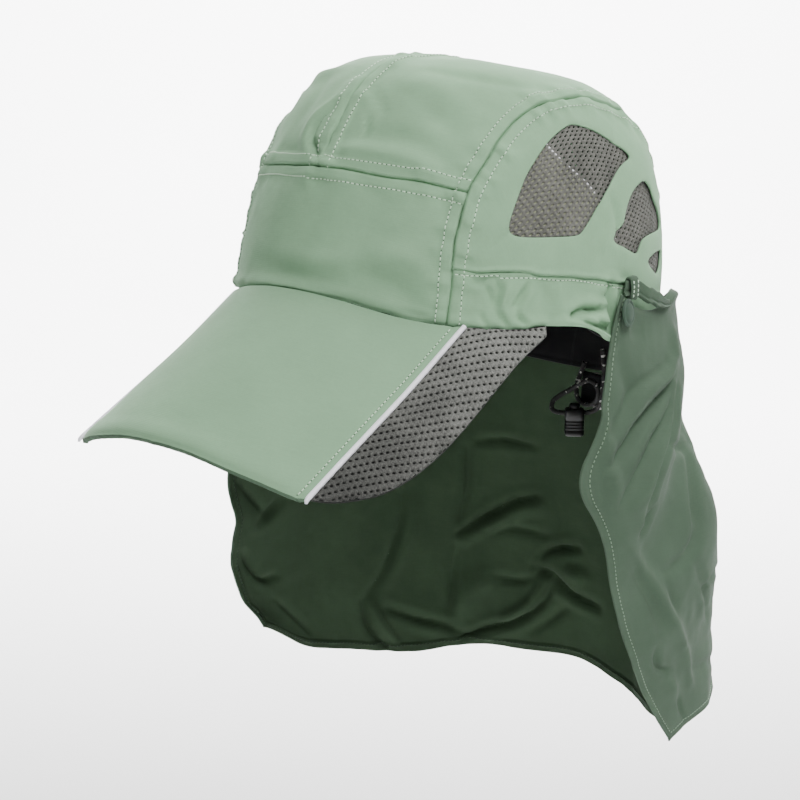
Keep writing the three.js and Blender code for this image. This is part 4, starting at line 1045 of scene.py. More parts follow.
def cloth_piece(name, P, mats, replaces, t=CLOTH_T, closed=False, keep=True, centre=TOP_AT, moved=crown_cloth, back=None, wall=0):
    """A grid of ideal points (rows, columns) made into a closed cloth body."""
    nv, nu = P.shape[0] - 1, P.shape[1] - (0 if closed else 1)
    U, _ = edge_dist(P)
    W = np.cumsum(np.concatenate([np.zeros((1, P.shape[1])), np.linalg.norm(np.diff(P, axis=0), axis=-1)]), axis=0)
    uv = np.stack([U - U[:, U.shape[1] // 2:U.shape[1] // 2 + 1], W], -1).reshape(-1, 2)
    V = P.reshape(-1, 3)
    F = grid_faces(nu, nv, closed)
    if moved:
        V = moved(V)
    F = face_out(V, F, centre)
    if keep:
        keep_for_stitches(V, F)
    VV, FF, UV = close_sheet(V, F, t, uv)
    # back faces, and rim walls when wall is 1, take the back material, a painted-shade copy of the cloth
    index = None if back is None else [0] * len(F) + [1] * len(F) + [wall] * (len(FF) - 2 * len(F))
    return obj_from(name, VV, FF, mats if back is None else [mats, back], uv=UV, replaces=replaces, index=index)


# front panel
u = steps(112, a=True, b=True)
v = steps(52, near=(0.0, 0.35, 0.8, 1.3, 1.9, 2.6, 3.4, 4.0, 4.5, 4.9, 5.4, 6.0, 6.9, 8.0))
U, W = np.meshgrid(u, v)
fp, fh = front_panel(U, W)
P = crown_h(fp, fh)


def front_moved(V):
    Q = crown_cloth(V)
    n = crown_normal(V)
    low = V[:, 2] - crown_h(*rim_at(V))[:, 2]
    return Q - n * (0.9 * np.exp(-(low / 0.9) ** 2))[:, None] + n * (0.6 * np.exp(-((low - 3.2) / 2.2) ** 2))[:, None]


def azimuth(V):
    s, c = math.sin(PITCH), math.cos(PITCH)
    y0 = V[..., 1] * c - (V[..., 2] - CZ) * s - CY
    return np.degrees(np.arctan2(V[..., 0], -y0))


def rim_at(V):
    p = azimuth(V)
    return p, table(RIM, p)


cloth_piece('front_panel_cloth', P, M_CROWN, ('crown_front_panel',), moved=front_moved, back=M_CROWN_IN_SHADE)

# top panels
for sign, side in ((1, 'left'), (-1, 'right')):
    U, W = np.meshgrid(steps(66), steps(185))
    P = crown_disc2(top_patch2(sign)(U, W))
    cloth_piece(f'top_panel_{side}_cloth', P, M_CROWN, (f'crown_top_{side}',), back=M_CROWN_IN_SHADE)


# side panels, with their windows cut out
def window_loops():
    """Each window's outline in the side chart, smooth with rounded corners."""
    out = []
    for w in WINDOWS:
        q = np.array(w, float)
        for _ in range(2):
            a, b = q, np.roll(q, -1, axis=0)
            L = np.linalg.norm(b - a, axis=1, keepdims=True)
            k = np.minimum(0.25, 2.6 / np.maximum(L, 1e-6))
            q = np.stack([a + (b - a) * k, b - (b - a) * k], 1).reshape(-1, 2)
        d = np.concatenate([[0], np.cumsum(np.linalg.norm(np.diff(np.vstack([q, q[:1]]), axis=0), axis=1))])
        qq = np.vstack([q, q[:1]])
        s = np.arange(0, d[-1] - 0.4, 0.75)
        q = np.stack([np.interp(s, d, qq[:, k]) for k in (0, 1)], -1)
        # solve azimuth and rise angle from the side view
        p, psi = np.full(len(q), 85.0), np.full(len(q), 30.0)
        for _ in range(40):
            X = crown_psi(p, psi)
            e = 0.05
            Jp, Js = (crown_psi(p + e, psi) - X) / e, (crown_psi(p, psi + e) - X) / e
            r = q - X[:, 1:]
            det = Jp[:, 1] * Js[:, 2] - Jp[:, 2] * Js[:, 1]
            dp = (r[:, 0] * Js[:, 2] - r[:, 1] * Js[:, 1]) / det
            ds = (Jp[:, 1] * r[:, 1] - Jp[:, 2] * r[:, 0]) / det
            p, psi = p + np.clip(dp, -4, 4), np.clip(psi + np.clip(ds, -4, 4), 2, 80)
        out.append(disc(p, psi))
    return out


def inside(Q, loop):
    x, y = Q[:, 0], Q[:, 1]
    a, b = loop, np.roll(loop, -1, axis=0)
    hit = np.zeros(len(Q), bool)
    for (x0, y0), (x1, y1) in zip(a, b):
        if y0 == y1:
            continue
        m = ((y0 > y) != (y1 > y)) & (x < (x1 - x0) * (y - y0) / (y1 - y0) + x0)
        hit ^= m
    return hit


SIDE = side_chart()
LOOPS = window_loops()


def side_mesh_points():
    U, W = np.meshgrid(steps(150), steps(88))
    Q = SIDE(U, W)
    ny, nx = Q.shape[:2]
    grid = Q.reshape(-1, 2)
    ids = np.arange(ny * nx).reshape(ny, nx)
    rim = np.concatenate([ids[0, :-1], ids[:-1, -1], ids[-1, :0:-1], ids[:0:-1, 0]])
    keep = np.ones(len(grid), bool)
    rings = []
    for loop in LOOPS:
        c = loop.mean(0)
        n = np.roll(loop, -1, axis=0) - np.roll(loop, 1, axis=0)
        n = unit(np.stack([n[:, 1], -n[:, 0]], -1))
        if np.mean(np.sum(n * (loop - c), 1)) < 0:
            n = -n
        rings.append((loop, loop + n * 0.22, loop + n * 0.55))
        keep &= ~inside(grid, loop + n * 0.9)
    keep[rim] = True
    new = np.full(len(grid), -1)
    new[keep] = np.arange(keep.sum())
    pts = [grid[keep]]
    edges = [(int(new[a]), int(new[b])) for a, b in zip(rim, np.roll(rim, -1))]
    base = int(keep.sum())
    for trio in rings:
        for r in trio:
            pts.append(r)
            edges += [(base + i, base + (i + 1) % len(r)) for i in range(len(r))]
            base += len(r)
    allp = np.vstack(pts)
    res = delaunay_2d_cdt([Vector(p) for p in allp], edges, [], 0, 1e-7)
    V = np.array([tuple(p) for p in res[0]])
    F = np.array([tuple(f) for f in res[2] if len(f) == 3])
    C = V[F].mean(1)
    ok = inside(C, grid[rim])
    for loop in LOOPS:
        ok &= ~inside(C, loop)
    F = F[ok]
    used = np.unique(F)
    back = np.full(len(V), -1)
    back[used] = np.arange(len(used))
    return V[used], back[F]


SIDE_Q, SIDE_F = side_mesh_points()
LOOP3 = [crown_disc(q) for q in LOOPS]


def side_cloth(V, mirror):
    Q = crown_cloth(V, soft=0.8)
    n = crown_normal(V)
    X = V * np.array([mirror, 1, 1])
    for L in LOOP3:
        near = np.where(np.all((X > L.min(0) - 6) & (X < L.max(0) + 6), axis=1))[0]
        if len(near):
            d, _ = polyline_dist(X[near], np.vstack([L, L[:1]]), 0.5)
            Q[near] -= n[near] * (0.35 * np.exp(-(d / 0.9) ** 2))[:, None]
    return Q


for sign, side in ((1, 'left'), (-1, 'right')):
    V = crown_disc(SIDE_Q) * np.array([sign, 1, 1])
    F = SIDE_F
    V2 = side_cloth(V, sign)
    F = face_out(V2, F, TOP_AT)
    keep_for_stitches(V2, F)
    uv = SIDE_Q * 1.55
    VV, FF, UV = close_sheet(V2, F, CLOTH_T, uv, bulge=0.2)
    nf = len(F)
    obj_from(f'side_panel_{side}_cloth', VV, FF, [M_CROWN, M_CROWN_IN_SHADE], uv=UV, replaces=(f'crown_side_{side}',),
             index=[0] * nf + [1] * nf + [0] * (len(FF) - 2 * nf))


# ---------------------------------------------------------- knitted meshes --
def knit(f, size, pitch, row, hole, name, mats, replaces, t=0.55, yarn=0.25, keep=None, centre=TOP_AT, ring=6, twist=0.0, skew=0.0):
    """A net of staggered holes. f maps flat millimetres to space; size is the flat
    extent (x0, x1, y0, y1); hole is its half width and half height."""
    x0, x1, y0, y1 = size
    ang = np.arange(ring) * 2 * np.pi / ring + np.pi / 2
    hexa = np.array([(0, 2 / 3), (-0.5, 1 / 3), (-0.5, -1 / 3), (0, -2 / 3), (0.5, -1 / 3), (0.5, 1 / 3)]) * np.array([pitch, row])
    if ring == 12:
        hexa = np.stack([hexa, (hexa + np.roll(hexa, -1, axis=0)) / 2], 1).reshape(-1, 2)
    pts, F, key = [], [], {}

    def vid(q, lift):
        k = (round(q[0] / 0.02), round(q[1] / 0.02))
        if k not in key:
            key[k] = len(pts)
            pts.append((q[0], q[1], lift))
        return key[k]
    nrow = int((y1 - y0) / row) + 1
    ncol = int((x1 - x0) / pitch) + 1
    for j in range(nrow):
        for i in range(ncol):
            c = np.array([x0 + (i + 0.5 * (j % 2)) * pitch + skew * j * row, y0 + j * row])
            if keep is not None and not keep(c):
                continue
            r = []
            for a in ang:
                px, py = hole[0] * math.cos(a), hole[1] * math.sin(a)
                r.append(len(pts))
                pts.append((c[0] + px * math.cos(twist) - py * math.sin(twist), c[1] + px * math.sin(twist) + py * math.cos(twist), -yarn))
            o = [vid(c + h, 0.0) for h in hexa]
            for k in range(ring):
                F.append((r[k], r[(k + 1) % ring], o[(k + 1) % ring], o[k]))
    pts = np.array(pts)
    F = np.array(F)
    P, N = f(pts[:, 0], pts[:, 1])
    bump = noise(P, 0.9, 31) * 0.07
    V = P + N * (pts[:, 2] + bump)[:, None]
    F = face_out(V, F, centre)
    if np.mean(np.sum(normals_of(V, F) * N, -1)) < 0:
        F = F[:, ::-1].copy()
    VV, FF, UV = close_sheet(V, F, t, pts[:, :2], bulge=0.25, N=N)
    return obj_from(name, VV, FF, mats, uv=UV, replaces=replaces)


# the side meshes: flat millimetres come from the patch's own lengths
_mu, _mw = np.meshgrid(np.linspace(0.03, 0.9, 60), np.linspace(0.01, 0.965, 40))
_mp = crown_disc(SIDE(_mu, _mw))
_sx = np.concatenate([[0], np.cumsum(np.linalg.norm(np.diff(_mp, axis=1), axis=-1).mean(0))])
_sy = np.concatenate([[0], np.cumsum(np.linalg.norm(np.diff(_mp, axis=0), axis=-1).mean(1))])
WIN3 = LOOP3


def side_net(sign):
    def f(x, y):
        uu = np.interp(x, _sx, np.linspace(0.03, 0.9, 60))
        vv = np.interp(y, _sy, np.linspace(0.01, 0.965, 40))
        P = crown_disc(SIDE(uu, vv)) * np.array([sign, 1, 1])
        N = crown_normal(P)
        return P - N * 1.45, N
    return f


for sign, side in ((1, 'left'), (-1, 'right')):
    knit(side_net(sign), (0, _sx[-1], 0, _sy[-1]), 2.9, 1.9, (0.92, 0.56), f'side_net_{side}', M_MESH, (f'side_mesh_{side}',),
         t=0.5, yarn=0.18, twist=0.5)


# the lining of the front, seen behind the mesh, with its pale bound edge
def lining_points(sign):
    uu, vv = np.meshgrid(np.linspace(0.0, 1, 26), np.linspace(0, 1, 26))
    edge = curve([(0.53, 0.02), (0.435, 0.226), (0.408, 0.286), (0.361, 0.367), (0.314, 0.442), (0.268, 0.538), (0.231, 0.638), (0.17, 0.94)])(vv)
    q = lerp(np.stack([0.02 + 0 * vv, edge[..., 1]], -1), edge, uu[..., None])
    P = crown_disc(SIDE(q[..., 0], q[..., 1])) * np.array([sign, 1, 1])
    N = crown_normal(P)
    return P - N * 2.12, N


for sign, side in ((1, 'left'), (-1, 'right')):
    P, N = lining_points(sign)
    cloth_piece(f'front_lining_{side}', P, M_LINING, (), t=0.5, keep=False, moved=lambda V: V + crown_normal(V) * (0.1 * noise(V, 9, 5))[:, None])

for sign, side in ((1, 'left'), (-1, 'right')):
    P, N = lining_points(sign)
    path = P[:, -1] + N[:, -1] * 0.12
    T = unit(np.gradient(path, axis=0))
    S = unit(np.cross(T, N[:, -1]))
    a = np.linspace(0, 2 * np.pi, 8, endpoint=False)
    V, F = loft([p + (np.cos(a)[:, None] * s + np.sin(a)[:, None] * n) * 0.42 for p, s, n in zip(path, S, N[:, -1])])
    obj_from(f'front_lining_edge_{side}', V, F, M_PIPE, uv=V[:, :2].copy())

# ----------------------------------------------------------------- the band --
pb = np.linspace(0, 1, 560)
vb = steps(27, near=(0.0, 0.4, 0.9, 1.5, 2.2, 3.0, 3.8))
PB, WB = np.meshgrid(pb, vb)
_from = seam_phi_at_h(lerp(float(table(RIM, 41.0)), float(table(BAND_TOP, 41.0)), WB)) - 0.12
PB = wrap(lerp(_from, 360 - _from, PB))
P = crown_h(PB, lerp(table(RIM, PB), table(BAND_TOP, PB), WB))


def band_moved(V):
    n = crown_normal(V)
    Q = crown_cloth(V, soft=0.7)
    p, h = rim_at(V)
    low = V[:, 2] - crown_h(p, h)[:, 2]
    along = np.stack([p * 1.5, 0 * p, 0 * p], -1)
    roll = 1.1 * np.exp(-((low - 2.0) / 1.9) ** 2) - 1.5 * np.exp(-(low / 0.9) ** 2) - 0.5 * np.exp(-((low - 5.4) / 0.9) ** 2)
    wave = (0.42 * noise(along, 5.0, 41) + 0.3 * noise(along + np.stack([0 * p, low * 0.4, 0 * p], -1), 11, 42)) * np.sin(np.pi * np.clip(low / 26, 0, 1)) ** 0.7
    side = smooth(60, 80, np.abs(p))
    lift = 1.9 * np.exp(-((np.abs(p) - 82) / 4.5) ** 2) * np.exp(-((low - 1.8) / 2.2) ** 2)
    dent = -1.7 * np.exp(-((np.abs(p) - 82) / 5) ** 2) * np.exp(-((low - 5.4) / 0.9) ** 2)
    return Q + n * (roll * (0.45 + 0.55 * side) + wave + lift + dent)[:, None]


cloth_piece('band_cloth', P, M_CROWN, ('side_band',), moved=band_moved, t=1.1, back=M_CROWN_IN_SHADE)

# ------------------------------------------------------------- the sweatband --
ps = np.linspace(-180, 180, 361)[:-1]
PS, WS = np.meshgrid(ps, np.linspace(0, 1, 17))
back = np.maximum(0, -np.cos(np.radians(PS)))
lo = table(RIM, PS) + 1.5 - 6.5 * back
P = crown_h(PS, lo + 18 * WS)
nrm = crown_normal(P)
P = P - nrm * (2.7 + 0.5 * np.sin(np.pi * WS) - 0.5 * np.exp(-((WS - 0.12) / 0.05) ** 2) + 0.35 * noise(P, 12, 8))[..., None]
cloth_piece('sweatband_tape', P, M_TAPE, ('sweatband',), t=1.2, closed=True, keep=False, moved=None)


# ----------------------------------------------------------------- the peak --
def brim_points(q, sign=1):
    x = q[..., 0] * sign
    return np.stack([x, q[..., 1], brim_z(x, q[..., 1])], -1)


def brim_moved(V):
    e = 0.4
    x, y = V[:, 0], V[:, 1]
    n = unit(np.stack([-(brim_z(x + e, y) - brim_z(x - e, y)) / (2 * e), -(brim_z(x, y + e) - brim_z(x, y - e)) / (2 * e), np.ones(len(V))], -1))
    L = brim_edge(np.linspace(0, 1, 300))
    L = np.vstack([L[::-1] * np.array([-1, 1]), L])
    d, _ = polyline_dist(V[:, :2], L, 1.0)
    h = 0.30 * noise(V, 30, 61) + 0.10 * noise(V, 9, 62) - 1.1 * np.exp(-(d / 1.5) ** 2) + 0.22 * np.exp(-((d - 5) / 2.4) ** 2)
    h -= 0.34 * np.exp(-((np.abs(x) - 62.3) / 0.5) ** 2)
    h += 0.22 * smooth(62.6, 63.6, np.abs(x)) * (np.abs(x) < 64.65)
    h += np.exp(-((np.abs(x) - 63.6) / 1.6) ** 2) * 0.16 * noise(np.stack([y, 0 * y, 0 * y], -1), 3.5, 63)
    return V + n * h[:, None]


BP = brim_patch()
U, W = np.meshgrid(steps(150, near=(0.0, 0.3, 0.7, 1.1, 1.5, 1.9, 2.3, 2.7, 3.2, 4.0, 5.0), wide=1.9),
                   steps(92, near=(0.0, 0.4, 0.8, 1.3, 1.9, 2.6, 3.5, 4.6, 6.0), wide=1.9))
P = brim_points(BP(U, W))
# the underside and rim walls take the painted-shade cloth
cloth_piece('peak_cloth', P, M_BRIM, ('brim',), t=2.4, centre=(0, -120, -400), moved=brim_moved, back=M_BRIM_EDGE_SHADE, wall=1)

BM = brim_mesh_patch()


def mesh_outline():
    s = np.linspace(0, 1, 120)
    z, o = np.zeros(120), np.ones(120)
    return np.vstack([BM(s, z)[:-1], BM(o, s)[:-1], BM(s[::-1], o)[:-1], BM(z, s[::-1])[:-1]])


OUTLINE = mesh_outline()


def brim_normal(x, y):
    e = 0.4
    return unit(np.stack([-(brim_z(x + e, y) - brim_z(x - e, y)) / (2 * e), -(brim_z(x, y + e) - brim_z(x, y - e)) / (2 * e), np.ones(np.shape(x))], -1))


def snap_in(Q, loop):
    """Points outside the loop brought to its nearest point."""
    out = ~inside(Q, loop)
    L = np.vstack([loop, loop[:1]])
    for k in np.where(out)[0]:
        a, b = L[:-1], L[1:]
        ab = b - a
        t = np.clip(((Q[k] - a) * ab).sum(1) / np.maximum((ab * ab).sum(1), 1e-9), 0, 1)
        c = a + ab * t[:, None]
        Q[k] = c[((c - Q[k]) ** 2).sum(1).argmin()]
    return Q


def spacer(sign, side):
    """Peak insert: an open knit over a near-black ground sheet, which stands partly for the insert's back layer and
    partly for painted shade in its holes; both cut to the insert's outline.
    """
    U, W = np.meshgrid(np.linspace(0, 1, 15), np.linspace(0, 1, 56))
    P = brim_points(BM(U, W), sign)
    n = brim_normal(P[..., 0], P[..., 1])
    P = P - n * 1.05
    cloth_piece(f'peak_net_ground_and_shade_{side}', P, M_SPACER_GROUND_SHADE, (), t=1.0, keep=False, centre=(0, -120, -400), moved=None)
    lo, hi = OUTLINE.min(0), OUTLINE.max(0)
    pitch, row, ring = 2.9, 2.25, 12
    ang = np.arange(ring) * 2 * np.pi / ring + np.pi / 2
    hexa = np.array([(0, 2 / 3), (-0.5, 1 / 3), (-0.5, -1 / 3), (0, -2 / 3), (0.5, -1 / 3), (0.5, 1 / 3)]) * np.array([pitch, row])
    hexa = np.stack([hexa, (hexa + np.roll(hexa, -1, axis=0)) / 2], 1).reshape(-1, 2)
    lifts = [0.10, -0.06] * 6
    pts, lift, F, key = [], [], [], {}
    edge_loop = np.vstack([OUTLINE, OUTLINE[:1]])
    # slanted lattice: x is squeezed because the insert slopes steeply there
    rows = int((hi[1] - lo[1]) / row) + 2
    cols = int((hi[0] - lo[0]) / (pitch * 0.74)) + 3
    kx = 0.74
    for j in range(rows):
        for i in range(-1, cols):
            c = np.array([lo[0] + (i + 0.5 * (j % 2)) * pitch * kx, lo[1] + j * row])
            if not inside(c[None], OUTLINE)[0]:
                d = np.sqrt(((OUTLINE - c) ** 2).sum(1).min())
                if d > 0.75:
                    continue
            r = []
            for a in ang:
                r.append(len(pts))
                hx, hy = 0.80 * math.cos(a), 0.44 * math.sin(a)
                pts.append((c[0] + kx * (hx * 0.62 - hy * 0.78), c[1] + hx * 0.78 + hy * 0.62))
                lift.append(-0.34)
            o = []
            for h, z in zip(hexa, lifts):
                q = (c[0] + h[0] * kx, c[1] + h[1])
                k = (round(q[0] / 0.02), round(q[1] / 0.02))
                if k not in key:
                    key[k] = len(pts)
                    pts.append(q)
                    lift.append(z + (0.16 if h[1] < -0.3 else 0.0))
                o.append(key[k])
            for k in range(ring):
                F.append((r[k], r[(k + 1) % ring], o[(k + 1) % ring], o[k]))
    Q = snap_in(np.array(pts), OUTLINE)
    P = brim_points(Q, sign)
    N = brim_normal(P[:, 0], P[:, 1])
    d, _ = polyline_dist(Q, edge_loop, 1.0)
    lift = np.array(lift) + 0.10 * noise(P, 1.1, 71) + 0.2 * noise(P, 20, 72) - 0.5 * np.exp(-(d / 0.8) ** 2)
    V = P + N * lift[:, None]
    F = np.array(F)
    area = np.linalg.norm(np.cross(V[F[:, 2]] - V[F[:, 0]], V[F[:, 3]] - V[F[:, 1]]), axis=1)
    F = F[area > 0.004]
    if np.mean(np.sum(normals_of(V, F) * N, -1)) < 0:
        F = F[:, ::-1].copy()
    VV, FF, UV = close_sheet(V, F, 0.62, Q, bulge=0.15, N=N)
    obj_from(f'peak_net_{side}', VV, FF, M_SPACER, uv=UV, replaces=(f'brim_mesh_{side}',))


spacer(1, 'left')
spacer(-1, 'right')


def tube(path, radii, n=14, flat=1.0, ref=(0, 0, 1)):
    """Swept round or flattened section along a path, closed at both ends."""
    path = np.asarray(path, float)
    T = unit(np.gradient(path, axis=0))
    S = unit(np.cross(T, np.array(ref)))
    N = np.cross(S, T)
    a = np.linspace(0, 2 * np.pi, n, endpoint=False)
    rings = []
    for p, s, m, r in zip(path, S, N, np.broadcast_to(radii, len(path))):
        rings.append(p + (np.cos(a)[:, None] * s + np.sin(a)[:, None] * m * flat) * r)
    return loft(rings)


for sign, side in ((1, 'left'), (-1, 'right')):
    y = np.linspace(float(foot(np.array(foot_phi(PIPE_X)))[1]) + 0.4, -159.6, 90)
    x = sign * (PIPE_X + 0.05 + 0.0 * y)
    path = np.stack([x, y, brim_z(x, y) - 0.15], -1)
    end = path[-1] + np.array([[sign * 0.2, -0.9, -0.7], [sign * 0.3, -1.2, -1.7]])
    path = np.vstack([path, end])
    r = np.full(len(path), 1.08)
    r[-3:] = (1.0, 0.85, 0.5)
    V, F = tube(path, r, n=16, flat=0.95)
    V += noise(V, 6, 77)[:, None] * 0.05
    obj_from(f'piping_cord_{side}', V, F, M_PIPE, uv=V[:, :2].copy(), replaces=(f'piping_{side}',))

# ------------------------------------------------------------- the neck flap --
# creases of the flap as drawn on it: shares along the sheet and down it, width
# and height in mm (out of the wearer's side is +), sharp or soft
FLAP_CREASES = [
    dict(pts=[(0.19, 0.087), (0.176, 0.13), (0.113, 0.161), (0.069, 0.214), (0.034, 0.278)], w=4.5, a=2.4, sharp=0),
    dict(pts=[(0.155, 0.124), (0.097, 0.157), (0.063, 0.204), (0.033, 0.258)], w=2.2, a=-1.5, sharp=0),
    dict(pts=[(0.176, 0.14), (0.139, 0.184), (0.083, 0.247), (0.039, 0.324)], w=1.7, a=-2.2, sharp=1),
    dict(pts=[(0.162, 0.161), (0.1, 0.247), (0.052, 0.334)], w=3.4, a=1.2, sharp=0),
    dict(pts=[(0.157, 0.187), (0.1, 0.294), (0.044, 0.411)], w=1.5, a=-1.9, sharp=1),
    dict(pts=[(0.17, 0.187), (0.137, 0.261), (0.1, 0.351), (0.082, 0.448)], w=1.6, a=-2.0, sharp=1),
    dict(pts=[(0.159, 0.201), (0.12, 0.284), (0.066, 0.415)], w=3.6, a=1.4, sharp=0),
    dict(pts=[(0.206, 0.365), (0.186, 0.431), (0.169, 0.495)], w=2.4, a=-1.3, sharp=0),
    dict(pts=[(0.193, 0.281), (0.232, 0.321)], w=1.6, a=-1.2, sharp=1),
    dict(pts=[(0.13, 0.294), (0.207, 0.355), (0.23, 0.351)], w=1.6, a=-1.3, sharp=1),
    dict(pts=[(0.013, 0.231), (0.033, 0.298), (0.043, 0.361), (0.039, 0.415)], w=2.6, a=1.6, sharp=0),
    dict(pts=[(0.039, 0.117), (0.069, 0.167), (0.059, 0.224)], w=5.0, a=-1.2, sharp=0),
    dict(pts=[(0.07, 0.043), (0.112, 0.043)], w=5.0, a=-1.0, sharp=0),
    dict(pts=[(0.177, 0.468), (0.162, 0.538), (0.14, 0.575), (0.11, 0.589)], w=3.2, a=-2.2, sharp=0),
    dict(pts=[(0.099, 0.428), (0.076, 0.485)], w=1.6, a=-1.8, sharp=1),
    dict(pts=[(0.041, 0.488), (0.079, 0.592), (0.099, 0.702), (0.123, 0.836), (0.119, 0.903)], w=4.0, a=1.9, sharp=0),
    dict(pts=[(0.052, 0.542), (0.076, 0.639), (0.077, 0.716)], w=3.0, a=-1.4, sharp=0),
    dict(pts=[(0.06, 0.763), (0.054, 0.809), (0.08, 0.836)], w=1.6, a=-1.8, sharp=1),
    dict(pts=[(0.076, 0.853), (0.076, 0.9)], w=4.0, a=1.6, sharp=0),
    dict(pts=[(0.153, 0.592), (0.166, 0.676), (0.186, 0.783)], w=1.6, a=-1.2, sharp=1),
    dict(pts=[(0.213, 0.669), (0.197, 0.666), (0.169, 0.672), (0.182, 0.719)], w=1.6, a=-1.6, sharp=1),
    dict(pts=[(0.107, 0.619), (0.109, 0.656), (0.11, 0.686)], w=2.0, a=-1.0, sharp=0),
    dict(pts=[(0.139, 0.88), (0.203, 0.926)], w=3.6, a=-1.4, sharp=0),
    dict(pts=[(0.083, 0.92), (0.077, 0.98)], w=2.0, a=-1.2, sharp=0),
    dict(pts=[(0.72, 0.702), (0.677, 0.639), (0.649, 0.602), (0.621, 0.582)], w=1.7, a=2.6, sharp=1),
    dict(pts=[(0.715, 0.722), (0.674, 0.659), (0.647, 0.622), (0.614, 0.609)], w=4.0, a=-1.6, sharp=0),
    dict(pts=[(0.687, 0.696), (0.652, 0.676), (0.612, 0.686)], w=2.4, a=1.2, sharp=0),
    dict(pts=[(0.622, 0.746), (0.605, 0.722), (0.565, 0.706)], w=1.8, a=2.4, sharp=1),
    dict(pts=[(0.629, 0.773), (0.608, 0.789), (0.579, 0.836), (0.536, 0.849)], w=2.0, a=2.4, sharp=1),
    dict(pts=[(0.588, 0.766), (0.557, 0.789)], w=5.0, a=-2.2, sharp=0),
    dict(pts=[(0.608, 0.816), (0.625, 0.873), (0.662, 0.926), (0.724, 0.98)], w=1.8, a=2.6, sharp=1),
    dict(pts=[(0.619, 0.809), (0.638, 0.866), (0.674, 0.923)], w=2.4, a=-1.8, sharp=0),
    dict(pts=[(0.808, 0.893), (0.778, 0.92), (0.747, 0.943), (0.724, 0.97)], w=1.8, a=2.0, sharp=1),
    dict(pts=[(0.835, 0.88), (0.831, 0.943), (0.811, 1.0)], w=1.8, a=2.0, sharp=1),
    dict(pts=[(0.83, 0.88), (0.805, 0.973)], w=2.2, a=-1.3, sharp=0),
    dict(pts=[(0.781, 0.609), (0.787, 0.679), (0.805, 0.776), (0.833, 0.876)], w=2.0, a=1.7, sharp=1),
    dict(pts=[(0.774, 0.642), (0.784, 0.732), (0.808, 0.819)], w=5.0, a=-1.6, sharp=0),
    dict(pts=[(0.701, 0.475), (0.707, 0.582), (0.718, 0.666)], w=1.6, a=1.5, sharp=1),
    dict(pts=[(0.724, 0.732), (0.735, 0.853), (0.74, 0.906)], w=1.8, a=1.5, sharp=1),
    dict(pts=[(0.691, 0.455), (0.642, 0.435), (0.614, 0.441)], w=1.8, a=1.6, sharp=1),
    dict(pts=[(0.631, 0.793), (0.649, 0.813), (0.68, 0.813)], w=2.4, a=1.4, sharp=0),
    dict(pts=[(0.98, 0.528), (0.96, 0.605)], w=2.2, a=1.6, sharp=0),
    dict(pts=[(0.938, 0.579), (0.964, 0.639)], w=2.6, a=1.6, sharp=0),
    dict(pts=[(0.98, 0.726), (0.964, 0.809), (0.947, 0.793)], w=2.2, a=1.8, sharp=0),
    dict(pts=[(0.95, 0.873), (0.918, 0.953)], w=2.4, a=1.2, sharp=0),
    dict(pts=[(0.695, 0.816), (0.721, 0.87), (0.727, 0.943)], w=6.0, a=-2.0, sharp=0),
    dict(pts=[(0.591, 0.876), (0.641, 0.95)], w=3.0, a=1.4, sharp=0),
]
HEM = 4.2
fu = steps(560, near=(0.0, 0.4, 0.9, 1.6, 2.4, 3.2, 4.0, 4.6, 5.2, 5.8, 6.6, 7.8), wide=1.9)
fv = steps(215, near=(0.0, 0.4, 0.9, 1.6, 2.4, 3.2, 4.0, 4.6, 5.2, 5.8, 6.6, 7.8), wide=1.8)
FU, FV = np.meshgrid(fu, fv)
FP, FN = flap_surface(FU, FV)
S0, S1 = edge_dist(FP)
T0 = np.cumsum(np.concatenate([np.zeros((1, FP.shape[1])), np.linalg.norm(np.diff(FP, axis=0), axis=-1)]), axis=0)
T1 = T0[-1:] - T0
FLAT_S, FLAT_T = S0.mean(0), T0.mean(1)
FLAP_AREA = float(np.sum(np.linalg.norm(np.cross(FP[1:, 1:] - FP[:-1, :-1], FP[1:, :-1] - FP[:-1, 1:]), axis=-1)) / 2) * 1e-6


